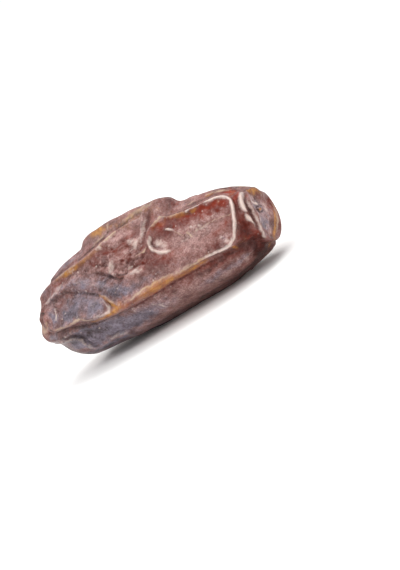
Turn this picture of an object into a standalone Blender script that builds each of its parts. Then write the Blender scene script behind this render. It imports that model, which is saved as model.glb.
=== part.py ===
"""A dried date lying on its side: one closed solid with a shrunken, folded skin.

A ball is drawn out into a blunt-ended body along a line that falls gently to the right. Its skin then sags
between raised ridges, and shorter folds, lips and creases are added along lines of their own. The underside
is cut level where the fruit rests. Nothing inside is modelled: the photograph shows no core.

Lengths in the lists are millimetres. Angles are degrees round the body: 0 faces the front (-Y), 90 the top,
180 the back and 270 the floor. The object is scaled to metres as it is made.
"""
import bmesh
import bpy
import numpy as np

# driving dimensions
MM = 0.001
HALF_LEFT = 25.3          # body from its middle to each end
HALF_RIGHT = 24.7
BLUNT_LEFT = 6.5          # a larger number closes the end more squarely
BLUNT_RIGHT = 9.0
SLOPE = 0.045             # fall of the body's line per millimetre to the right
FLOOR = -9.4              # height of the level cut, from the body's line
SINK, REACH = 1.5, 3.4    # how far the skin sags, and how far from a ridge it takes to do so
EDGE, EDGE_REACH = 0.35, 0.7
BLEND = 0.5               # rounds the sag where two ridges are equally near

# mesh of the ball before it is thinned, and the triangles that stay
ALONG = 240
AROUND = 200
TRIANGLES = 11600

# half sizes of the body at stations along it
STATIONS = [-25, -20, -16, -12, -8, -4, 0, 4, 8, 12, 16, 20, 24]
TOP = [7.4, 7.9, 8.5, 9.0, 9.3, 9.4, 9.2, 8.8, 8.3, 7.9, 7.5, 6.9, 6.6]
UNDER = [10.2, 10.0, 9.6, 9.5, 9.7, 9.6, 9.2, 8.9, 8.8, 8.5, 8.0, 7.5, 7.3]
FRONT = [9.8, 9.9, 10.2, 10.4, 10.5, 10.5, 10.4, 10.2, 9.9, 9.4, 8.8, 8.0, 7.4]
BACK = [8.6, 9.0, 9.4, 9.7, 9.9, 9.9, 9.8, 9.6, 9.3, 8.9, 8.3, 7.7, 7.2]

# ridges that the skin sags between; each point is (x, angle, height, half width)
RIDGES = [
    # the long ridge across the front
    [(-20.2, 0, 0.35, 0.4), (-17.5, 1, 0.35, 0.4), (-14.6, 1, 0.3, 0.45), (-12.9, 0, 0.3, 0.5),
     (-11, -3, 0.4, 0.7), (-8.9, -6, 0.5, 0.85), (-6.5, -7, 0.5, 0.9), (-3.4, -7, 0.5, 0.9),
     (-0.3, -6, 0.5, 0.85), (3.6, -5, 0.45, 0.7), (7.4, -4, 0.45, 0.6), (11, -4, 0.45, 0.5),
     (14, -5, 0.45, 0.45), (16.5, -6, 0.45, 0.42), (18.3, -7, 0.45, 0.42)],
    # the rim of the right facet: its right side, then its top
    [(18.3, -7, 0.45, 0.42), (19.4, -3, 0.45, 0.42), (20.3, 7, 0.45, 0.42), (20.9, 19, 0.45, 0.42),
     (21.2, 33, 0.45, 0.42), (21.2, 46, 0.45, 0.42), (20.8, 58, 0.45, 0.42), (20.2, 67, 0.45, 0.42),
     (19, 73, 0.45, 0.42)],
    [(19, 73, 0.45, 0.42), (17, 70, 0.45, 0.42), (15.2, 66, 0.45, 0.42), (12.2, 64, 0.45, 0.42),
     (9.4, 65, 0.4, 0.42), (7.1, 71, 0.4, 0.42)],
    # short branches from the rim's left corner, down and up over the top
    [(6.9, 73, 0.4, 0.42), (6.5, 65, 0.2, 0.4), (6.1, 59, 0, 0.38)],
    [(6.9, 73, 0.4, 0.5), (5.8, 85, 0.5, 0.6), (4.6, 97, 0.6, 0.7), (3.4, 105, 0.4, 0.7)],
    # the high back edge, which makes the outline's raised shoulder
    [(-20, 92, -0.2, 1.5), (-16, 97, -0.2, 1.5), (-12.4, 99, -0.1, 1.2), (-10.7, 100, 1, 1.2),
     (-9.2, 101, 1.5, 1.3), (-7, 101, 1.6, 1.4), (-4, 102, 1.7, 1.6), (0, 103, 1.8, 1.6),
     (4, 104, 1.9, 1.5), (7.2, 104, 2, 1.2), (8.6, 104, 1.5, 1), (9.8, 104, 0.3, 1),
     (12, 102, 0.1, 1), (20, 105, 0, 1)],
    # the crest along the upper left
    [(-22.5, 64, 0.1, 0.5), (-18.5, 58, 0.3, 0.5), (-15, 57, 0.4, 0.5), (-12.2, 57, 0.45, 0.48),
     (-10.2, 60, 0.5, 0.45), (-8.4, 66, 0.55, 0.42), (-6.1, 71, 0.65, 0.42), (-3.9, 79, 0.7, 0.42),
     (-1.7, 88, 0.75, 0.42), (1, 93, 0.75, 0.42), (3.3, 97, 0.6, 0.5)],
    # the lip and the tip at the left end
    [(-21.4, 24, 0.1, 0.35), (-21.5, 12, 0.4, 0.35), (-21.3, 5, 0.4, 0.35), (-20.2, 0, 0.35, 0.4)],
    [(-24.2, 30, 0.2, 0.8), (-24.2, 12, 0.7, 0.9), (-24, -3, 1.1, 0.9), (-23.4, -12, 0.9, 0.8),
     (-21.3, -12, 0.5, 0.6), (-18.6, -10, 0.35, 0.5), (-16.8, -8, 0.3, 0.45), (-14.6, -9, 0.2, 0.4),
     (-12.5, -12, 0, 0.4)],
    # folds low on the left
    [(-23.3, -22, 0.4, 0.6), (-21, -16, 0.4, 0.55), (-19, -15, 0.4, 0.5), (-17.6, -18, 0.45, 0.45),
     (-16.8, -24, 0.5, 0.45), (-16.8, -33, 0.5, 0.45), (-16.3, -40, 0.5, 0.5), (-14.3, -42, 0.45, 0.5)],
    [(-14.3, -42, 0.45, 0.45), (-12.8, -38, 0.4, 0.42), (-11, -36, 0.4, 0.42), (-9.4, -37, 0.4, 0.42),
     (-8.3, -42, 0.4, 0.42), (-7.9, -52, 0.3, 0.45), (-8.6, -66, 0, 0.5)],
    # the bead beside the right end, and the rim round the end's own face
    [(21.9, 78, 0.2, 0.45), (22.4, 62, 0.35, 0.42), (22.7, 43, 0.4, 0.42), (22.8, 24, 0.4, 0.42),
     (22.9, 8, 0.3, 0.42), (23, -5, 0.05, 0.4)],
    [(23.4, 80, 0.3, 0.4), (23.6, 60, 0.35, 0.38), (23.75, 35, 0.35, 0.38), (23.75, 4, 0.35, 0.38),
     (23.5, -25, 0.35, 0.38), (23.2, -48, 0.35, 0.38), (23, -70, 0.35, 0.42), (23.1, -95, 0.3, 0.45),
     (23.8, -125, 0.2, 0.5), (24.1, -160, 0.15, 0.6), (23.7, -195, 0.2, 0.6), (24, -232, 0.15, 0.5),
     (23.6, -262, 0.25, 0.45), (23.4, -280, 0.3, 0.4)],
    # four long ridges on the hidden side and underneath
    [(-23, 135, 0.1, 0.6), (-16, 143, 0.4, 0.7), (-10, 138, 0.5, 0.7), (-4, 146, 0.5, 0.8),
     (3, 140, 0.45, 0.7), (9, 148, 0.45, 0.7), (15, 138, 0.45, 0.6), (21.5, 142, 0.3, 0.6)],
    [(-23, 180, 0.1, 0.6), (-15, 172, 0.4, 0.7), (-9, 180, 0.5, 0.7), (-2, 188, 0.5, 0.8),
     (4, 182, 0.5, 0.8), (10, 190, 0.45, 0.7), (17, 184, 0.4, 0.6), (22, 186, 0.3, 0.6)],
    [(-23, 222, 0.1, 0.6), (-16, 228, 0.4, 0.7), (-9, 222, 0.4, 0.7), (-2, 232, 0.4, 0.7),
     (5, 226, 0.4, 0.7), (11, 236, 0.4, 0.7), (17, 230, 0.4, 0.6), (22, 226, 0.3, 0.6)],
    [(-21, 264, 0, 0.8), (-14, 268, 0.1, 1.2), (-8, 269, 0.3, 2), (-2, 270, 0.6, 2.2),
     (4, 269, 0.8, 2.2), (9, 270, 0.6, 2), (15, 268, 0.2, 1.2), (21, 262, 0.1, 0.6)],
    # short ridges that join the long ones at the back
    [(-10, 138, 0.4, 0.6), (-7, 158, 0.3, 0.6), (-9, 180, 0.4, 0.6)],
    [(9, 148, 0.4, 0.6), (6, 165, 0.3, 0.6), (4, 182, 0.4, 0.6)],
    [(-2, 188, 0.4, 0.6), (-4, 210, 0.3, 0.6), (-2, 232, 0.4, 0.6)],
    [(10, 190, 0.4, 0.6), (13, 212, 0.3, 0.6), (11, 236, 0.4, 0.6)],
    [(-15, 172, 0.4, 0.6), (-18, 200, 0.3, 0.6), (-16, 228, 0.4, 0.6)],
    [(-6, 102, 0.4, 0.6), (-8, 120, 0.3, 0.6), (-10, 138, 0.4, 0.6)],
    [(12, 102, 0.2, 0.6), (12, 122, 0.3, 0.6), (9, 148, 0.4, 0.6)],
    [(5, 226, 0.3, 0.6), (3, 247, 0.3, 0.6), (2, 268, 0.3, 0.6)],
    [(-9, 222, 0.3, 0.6), (-12, 245, 0.3, 0.6), (-14, 268, 0.3, 0.6)],
    [(15, 270, 0.3, 0.6), (16, 250, 0.3, 0.6), (17, 230, 0.3, 0.6)],
]

# folds above zero and creases below it, laid over the sagging skin; points as above
FOLDS = [
    # the curl at the left of the right facet, the hollow inside it, and a thin bead beside it
    [(7.1, 68, 0.2, 0.42), (6.7, 60, 0.45, 0.4), (5.8, 55, 0.5, 0.38), (4.9, 51, 0.5, 0.36),
     (4.6, 45, 0.5, 0.36), (4.6, 39, 0.5, 0.36), (5.2, 33, 0.5, 0.36), (6, 29, 0.4, 0.36),
     (6.8, 26, 0.25, 0.36), (7.9, 25, 0, 0.36)],
    [(6.3, 53, 0, 0.28), (5.6, 49, -0.25, 0.28), (5.5, 42, -0.35, 0.3), (5.8, 37, -0.3, 0.3),
     (6.6, 33, -0.1, 0.3)],
    [(8.1, 53, 0, 0.24), (9, 51, 0.18, 0.24), (9.9, 47, 0.22, 0.24), (11.1, 40, 0.2, 0.24),
     (12.2, 35, 0.15, 0.24), (13.5, 28, 0, 0.24)],
    # a crest above the rim's top
    [(6.8, 80, 0.2, 0.4), (9.2, 75, 0.3, 0.4), (11.1, 76, 0.35, 0.4), (13.7, 81, 0.35, 0.45),
     (17, 86, 0.3, 0.5), (20.2, 82, 0.1, 0.5)],
    # the fold that comes down from the top, and the deep line at its right
    [(3, 98, 0.6, 0.55), (2.8, 86, 0.6, 0.55), (2.9, 76, 0.6, 0.55), (2.9, 66, 0.6, 0.52),
     (2.7, 58, 0.5, 0.5), (2.4, 51, 0.4, 0.5), (1.8, 45, 0.1, 0.5)],
    [(4, 96, -0.4, 0.42), (3.9, 85, -0.7, 0.42), (4.1, 72, -0.75, 0.4), (4, 60, -0.75, 0.38),
     (3.6, 51, -0.55, 0.38), (3.4, 42, -0.1, 0.38)],
    # the sharp crease in the middle and the lip over it
    [(-10.4, 46, 0, 0.22), (-9.3, 43, -0.3, 0.26), (-8.2, 41, -0.5, 0.28), (-7.2, 37, -0.6, 0.3),
     (-6, 32, -0.65, 0.32), (-4.9, 27, -0.6, 0.32), (-3.7, 22, -0.4, 0.3), (-1.9, 20, -0.15, 0.3),
     (0, 18, 0, 0.3)],
    [(-9.7, 46, 0, 0.4), (-8.4, 44, 0.15, 0.4), (-7.1, 40, 0.25, 0.4), (-5.6, 35, 0.25, 0.45),
     (-4.2, 29, 0.2, 0.45), (-3, 25, 0, 0.4)],
    # the longer crease at the left and the swell above it
    [(-18, 43, 0, 0.3), (-16.4, 43, -0.35, 0.35), (-14.2, 39, -0.5, 0.38), (-12.5, 33, -0.55, 0.4),
     (-11.2, 27, -0.55, 0.42), (-9.4, 19, -0.55, 0.4), (-8, 13, -0.35, 0.35), (-7.2, 8, 0, 0.3)],
    [(-15.8, 48, 0, 0.9), (-12.8, 42, 0.3, 1), (-10, 33, 0.4, 1.1), (-7.6, 24, 0.4, 1.1),
     (-5.5, 15, 0.3, 1), (-3.9, 7, 0, 0.9)],
    # fine ridges and the notch at the left end
    [(-23, 43, 0.1, 0.35), (-21.4, 41, 0.35, 0.38), (-19.5, 42, 0.35, 0.4), (-17, 40, 0.3, 0.4),
     (-15.1, 41, 0.3, 0.4), (-13.4, 44, 0.25, 0.4), (-12, 48, 0.15, 0.4), (-11, 51, 0, 0.4)],
    [(-19.3, 36, 0.1, 0.35), (-18.9, 31, 0.3, 0.38), (-18.5, 21, 0.3, 0.38), (-17.9, 12, 0.2, 0.38),
     (-18.4, 5, 0.05, 0.4)],
    [(-24.4, 36, -0.9, 0.6), (-22.8, 32, -0.9, 0.5), (-21.5, 27, -0.4, 0.4), (-20.2, 24, 0, 0.35)],
    # the groove under the long ridge
    [(-23, -5, -0.2, 0.3), (-21.4, -5, -0.4, 0.3), (-18.4, -4, -0.4, 0.3), (-15.9, -4, -0.4, 0.3),
     (-13.8, -6, -0.4, 0.3), (-11.8, -10, -0.35, 0.35), (-8.7, -13, -0.3, 0.4), (-4, -14, -0.25, 0.4),
     (0, -13, -0.2, 0.4), (6, -11, -0.2, 0.4), (14, -12, -0.2, 0.4), (18, -13, 0, 0.4)],
    # the spur up from the long ridge, the rim at its left, and the gap between
    [(-8, 15, 0.05, 0.28), (-7.5, 11, 0.3, 0.3), (-6.9, 5, 0.4, 0.35), (-5.9, 1, 0.45, 0.42),
     (-4.7, -4, 0.4, 0.6)],
    [(-8.6, 15, 0.1, 0.3), (-8.1, 11, 0.25, 0.32), (-7.6, 4, 0.3, 0.32), (-8, -1, 0.25, 0.32),
     (-9.4, -3, 0.1, 0.4)],
    [(-7.9, 9, -0.1, 0.25), (-7, 3, -0.35, 0.28), (-6.9, -2, -0.35, 0.3), (-7.6, -5, -0.1, 0.3)],
    # grooves low on the left and round the end of the lower lobe
    [(-17.6, -9, -0.2, 0.4), (-16.2, -13, -0.5, 0.45), (-15.5, -20, -0.6, 0.45),
     (-15.5, -29, -0.55, 0.45), (-15.1, -36, -0.35, 0.4)],
    [(14, -12, -0.15, 0.6), (18, -15, -0.35, 0.7), (20.3, -21, -0.6, 0.75), (21.4, -32, -0.7, 0.8),
     (21.2, -46, -0.6, 0.8), (19.5, -56, -0.3, 0.8)],
    # the hollow band between the right facet and the end, and the groove round the end's face
    [(20.6, 76, -0.2, 0.45), (21.6, 62, -0.4, 0.45), (21.95, 45, -0.5, 0.45), (21.95, 25, -0.55, 0.45),
     (21.7, 8, -0.65, 0.6), (21.5, -8, -0.7, 0.8), (21.9, -25, -0.6, 0.8), (22, -50, -0.5, 0.8),
     (21.8, -75, -0.3, 0.7)],
    [(23, 66, -0.3, 0.28), (23.25, 45, -0.4, 0.28), (23.3, 26, -0.4, 0.28), (23.3, 5, -0.3, 0.28),
     (23.2, -20, -0.15, 0.3)],
]

# dents below zero and bumps above it: (x, angle, reach along, reach round, height)
DENTS = [
    (1.6, 44, 0.9, 1.0, -0.45),
    (1.7, 56, 0.9, 2.0, 0.45),
    (-3.7, 40, 0.6, 0.7, 0.35),
    (-1.7, 34, 0.6, 0.8, 0.35),
    (0, 22, 1.5, 0.7, 0.4),
    (-4.2, 54, 1.0, 0.7, 0.3),
    (-6.8, 52, 1.2, 0.6, 0.25),
    (-13.9, -27, 1.6, 1.6, 0.2),
    (-19.8, -33, 1.6, 2.2, 0.2),
    (-20.5, -60, 4.0, 4.0, 0.6),
    (7.6, 92, 1.1, 1.4, -0.7),
    (8.6, 84, 0.8, 0.8, -0.3),
    (24.35, 28, 0.3, 0.3, 0.5),
    (24.3, 28, 0.9, 0.9, -0.25),
]


def profile(values, x):
    """The half size at x: cubic pieces through the stations, with the neighbours' slope at each."""
    at = np.array(STATIONS, float)
    value = np.array(values, float)
    slope = np.gradient(value, at)
    i = np.clip(np.searchsorted(at, x) - 1, 0, len(at) - 2)
    step = at[i + 1] - at[i]
    t = np.clip((x - at[i]) / step, 0, 1)
    start = value[i] * (1 + 2 * t) * (1 - t) ** 2 + slope[i] * step * t * (1 - t) ** 2
    end = value[i + 1] * t * t * (3 - 2 * t) + slope[i + 1] * step * t * t * (t - 1)
    return start + end


def body_place(turn, angle):
    """Points of the smooth body. turn runs from 0 at the left end to pi at the right, angle is in radians."""
    half = np.where(turn < np.pi / 2, HALF_LEFT, HALF_RIGHT)
    blunt = np.where(turn < np.pi / 2, BLUNT_LEFT, BLUNT_RIGHT)
    x = -np.cos(turn) * half
    closing = np.sqrt(np.clip(1 - np.abs(np.cos(turn)) ** blunt, 0, 1))
    c, s = np.cos(angle), np.sin(angle)
    across = np.where(c > 0, profile(FRONT, x), profile(BACK, x))
    upright = np.where(s > 0, profile(TOP, x), profile(UNDER, x))
    radius = closing / np.sqrt((c / across) ** 2 + (s / upright) ** 2)
    return np.stack([x, -radius * c, radius * s - SLOPE * x], -1)


def body_normal(turn, angle):
    """Outward directions of the smooth body, from its two tangents. The two poles face along X."""
    step = 0.001
    before, after = np.clip(turn - step, 0, np.pi), np.clip(turn + step, 0, np.pi)
    lengthwise = body_place(after, angle) - body_place(before, angle)
    around = body_place(turn, angle + step) - body_place(turn, angle - step)
    normal = np.cross(around, lengthwise)
    size = np.linalg.norm(normal, axis=-1, keepdims=True)
    pole = np.stack([-np.sign(np.cos(turn)), 0 * turn, 0 * turn], -1)
    normal = np.where(size > 1e-9, normal / np.maximum(size, 1e-12), pole)
    outwards = np.sign((normal * body_place(turn, angle)).sum(-1, keepdims=True))
    return normal * np.where(outwards == 0, 1, outwards)


def on_body(x, degrees):
    """Points of the smooth body at x and an angle in degrees."""
    half = np.where(x < 0, HALF_LEFT, HALF_RIGHT)
    return body_place(np.arccos(np.clip(-x / half, -1, 1)), np.radians(degrees))


def smooth_line(points):
    """A smooth curve through a ridge's points, as close rows of (x, angle, height, half width)."""
    given = np.array(points, float)
    p = np.vstack([2 * given[0] - given[1], given, 2 * given[-1] - given[-2]])
    rows = []
    for a, b, c, d in zip(p[:-3], p[1:-2], p[2:-1], p[3:]):
        length = np.hypot(c[0] - b[0], (c[1] - b[1]) * 0.16)
        t = np.linspace(0, 1, max(2, int(length / 0.4) + 1), endpoint=False)[:, None]
        curve = 2 * b + (c - a) * t + (2 * a - 5 * b + 4 * c - d) * t ** 2 + (3 * b - 3 * c + d - a) * t ** 3
        rows.append(curve / 2)
    return np.vstack(rows + [given[-1:]])


def nearest(places, points):
    """Distance from each place to a ridge's line, with the line's height and half width there."""
    rows = smooth_line(points)
    line = on_body(rows[:, 0], rows[:, 1])
    distance = np.full(len(places), np.inf)
    height = np.zeros(len(places))
    width = np.ones(len(places))
    for k in range(len(line) - 1):
        way = line[k + 1] - line[k]
        t = np.clip((places - line[k]) @ way / (way @ way), 0, 1)
        away = np.linalg.norm(places - line[k] - t[:, None] * way, axis=1)
        closer = away < distance
        distance = np.where(closer, away, distance)
        height = np.where(closer, rows[k, 2] + t * (rows[k + 1, 2] - rows[k, 2]), height)
        width = np.where(closer, rows[k, 3] + t * (rows[k + 1, 3] - rows[k, 3]), width)
    return distance, height, width


def lift(places):
    """How far the skin stands off the smooth body: ridge crests less the sag, then folds, then dents."""
    crest = np.zeros(len(places))
    near = np.zeros(len(places))
    for points in RIDGES:
        distance, height, width = nearest(places, points)
        crest = np.maximum(crest, height * np.exp(-(distance / width) ** 2))
        near += np.exp(-distance / BLEND)
    from_ridge = np.maximum(-BLEND * np.log(np.maximum(near, 1e-12)), 0)
    # the lower lobe stays plump, and the right end's face sags little
    degrees = np.degrees(np.arctan2(places[:, 2], -places[:, 1]))
    lobe = np.exp(-(np.abs((places[:, 0] + 2) / 22.3) ** 5 + np.abs((degrees + 52) / 40) ** 3) ** 2)
    face = 1 / (1 + np.exp(-(places[:, 0] - 23.2) * 4))
    sag = SINK * (1 - 0.85 * lobe) * (1 - 0.6 * face) * (1 - np.exp(-(from_ridge / REACH) ** 2))
    edge = EDGE * (1 - 0.7 * lobe) * (1 - np.exp(-(from_ridge / EDGE_REACH) ** 2))
    total = crest - sag - edge
    for points in FOLDS:
        distance, height, width = nearest(places, points)
        total += height * np.exp(-(distance / width) ** 2)
    for x, angle, reach_along, reach_round, height in DENTS:
        c, s = np.cos(np.radians(angle)), np.sin(np.radians(angle))
        off = places - on_body(np.array([x]), np.array([angle]))[0]
        u = off[:, 0] / reach_along
        v = (off[:, 1] * s + off[:, 2] * c) / reach_round
        w = (off[:, 2] * s - off[:, 1] * c) / max(reach_along, reach_round)
        total += height * np.exp(-(u * u + v * v + 0.3 * w * w))
    return total


def read_places(mesh):
    """The mesh's vertices as rows."""
    flat = np.empty(len(mesh.vertices) * 3)
    mesh.vertices.foreach_get("co", flat)
    return flat.reshape(-1, 3)


for item in list(bpy.data.objects):
    bpy.data.objects.remove(item)

# a ball whose poles become the two ends, moved vertex by vertex onto the skin
ball = bmesh.new()
bmesh.ops.create_uvsphere(ball, u_segments=AROUND, v_segments=ALONG, radius=1.0)
fine = bpy.data.meshes.new("date_fine")
ball.to_mesh(fine)
ball.free()
start = read_places(fine)
turn = np.arccos(np.clip(start[:, 2], -1, 1))
angle = np.arctan2(start[:, 1], start[:, 0])
smooth = body_place(turn, angle)
skin = smooth + body_normal(turn, angle) * lift(smooth)[:, None]
skin[:, 2] = np.maximum(skin[:, 2], FLOOR)
fine.vertices.foreach_set("co", skin.ravel())
fine.update()

# thinned to the triangles that stay, most of them along the ridges
source = bpy.data.objects.new("date_fine", fine)
bpy.context.scene.collection.objects.link(source)
thin = source.modifiers.new("thin", "DECIMATE")
thin.ratio = TRIANGLES / (2 * AROUND * (ALONG - 1))
thin.use_collapse_triangulate = True
bpy.context.view_layer.update()
shown = source.evaluated_get(bpy.context.evaluated_depsgraph_get())
mesh = bpy.data.meshes.new_from_object(shown)
bpy.data.objects.remove(source)

# level underside again, then stood on the floor with the box's middle at the origin
places = read_places(mesh)
places[:, 2] = np.where(places[:, 2] < FLOOR + 0.02, FLOOR, places[:, 2])
low, high = places.min(axis=0), places.max(axis=0)
places -= [(low[0] + high[0]) / 2, (low[1] + high[1]) / 2, low[2]]
mesh.vertices.foreach_set("co", (places * MM).ravel())
mesh.polygons.foreach_set("use_smooth", [True] * len(mesh.polygons))
mesh.update()
mesh.name = "date"

# dark red-brown skin with a soft gloss
skin_material = bpy.data.materials.new("date skin")
skin_material.use_nodes = True
surface = skin_material.node_tree.nodes["Principled BSDF"]
surface.inputs["Base Color"].default_value = (0.105, 0.036, 0.026, 1)
surface.inputs["Roughness"].default_value = 0.42
surface.inputs["Metallic"].default_value = 0
skin_material.diffuse_color = (0.105, 0.036, 0.026, 1)
mesh.materials.append(skin_material)

parts = bpy.data.collections.new("dried date")
bpy.context.scene.collection.children.link(parts)
date = bpy.data.objects.new("date", mesh)
parts.objects.link(date)
print("box moved by", (low + high) / 2, "lowest", low[2], "triangles", len(mesh.polygons))
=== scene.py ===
"""The looks of a dried date: its shrunken, waxy skin, the floor it lies on, the camera and soft light."""

import bpy
import numpy as np
from mathutils import Matrix, Vector


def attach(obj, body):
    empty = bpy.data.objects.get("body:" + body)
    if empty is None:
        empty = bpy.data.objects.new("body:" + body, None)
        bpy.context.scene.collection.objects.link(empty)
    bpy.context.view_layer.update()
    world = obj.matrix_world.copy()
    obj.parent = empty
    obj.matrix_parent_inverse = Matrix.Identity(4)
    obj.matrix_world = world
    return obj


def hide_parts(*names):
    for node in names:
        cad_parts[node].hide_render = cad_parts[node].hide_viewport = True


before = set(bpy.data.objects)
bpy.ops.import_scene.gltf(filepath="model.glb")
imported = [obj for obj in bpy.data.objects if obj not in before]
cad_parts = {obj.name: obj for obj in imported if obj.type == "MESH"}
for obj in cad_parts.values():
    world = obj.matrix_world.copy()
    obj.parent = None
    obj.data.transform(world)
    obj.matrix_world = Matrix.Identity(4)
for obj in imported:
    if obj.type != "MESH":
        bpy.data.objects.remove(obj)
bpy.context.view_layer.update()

# The date: one whole dried fruit, shrunk round its stone until the skin sags into facets between raised
# ridges. It is one surface here, the CAD solid's own shape with finer wrinkles: a grid of stations from the
# left end to the right one and of angles round the fruit. Lengths are millimetres, angles degrees.
MM = 0.001
HALF_LEFT = 25.3                     # from the body's middle to each end
HALF_RIGHT = 24.7
BLUNT_LEFT = 6.5                     # a larger number closes the end more squarely
BLUNT_RIGHT = 9.0
SLOPE = 0.045                        # fall of the body's line per millimetre to the right
FLOOR = -9.4                         # height of the flat underside, from the body's line
CENTRE = (-0.3945, -0.3653, FLOOR)   # the part's origin: the middle of the solid's box, on the floor
SINK, REACH = 1.5, 3.4               # the skin's sag between ridges, and how far from a ridge it is whole
EDGE, EDGE_REACH = 0.35, 0.7         # the sharper step beside a ridge
BLEND = 0.5                          # rounds the sag where two ridges are equally near
ALONG, AROUND = 450, 220             # steps of the grid from end to end, and round the fruit
CLOSER_FRONT, CLOSER_AT = 0.5, 25    # how much closer together the front's angles lie, and where most
LOBE_AT, LOBE_REACH = (-2, -52), (22.3, 40)    # x and angle of the lower lobe, where the skin hardly sags
MIDDLE_AT, MIDDLE_REACH = (-2.5, 44), (6, 27)  # and of the winding folds in the middle of the front
FACE_FROM = 23.2                     # x where the right end's own, flatter face begins
MM_PER_DEGREE = 0.16                 # skin round the fruit to one degree, about
LINE_STEP = 0.4                      # longest step of the lines that ridges, folds and marks follow
WRINKLE, SMALL_WRINKLE = 2.6, 1.2    # sizes of the wrinkles
CRISP, LOOSE = 0.05, 0.2             # how far clear marks and soft ones stray from their drawn shape

# half sizes of the body at stations along it
STATIONS = [-25, -20, -16, -12, -8, -4, 0, 4, 8, 12, 16, 20, 24]
TOP = [7.4, 7.9, 8.5, 9.0, 9.3, 9.4, 9.2, 8.8, 8.3, 7.9, 7.5, 6.9, 6.6]
UNDER = [10.2, 10.0, 9.6, 9.5, 9.7, 9.6, 9.2, 8.9, 8.8, 8.5, 8.0, 7.5, 7.3]
FRONT = [9.8, 9.9, 10.2, 10.4, 10.5, 10.5, 10.4, 10.2, 9.9, 9.4, 8.8, 8.0, 7.4]
BACK = [8.6, 9.0, 9.4, 9.7, 9.9, 9.9, 9.8, 9.6, 9.3, 8.9, 8.3, 7.7, 7.2]

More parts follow.
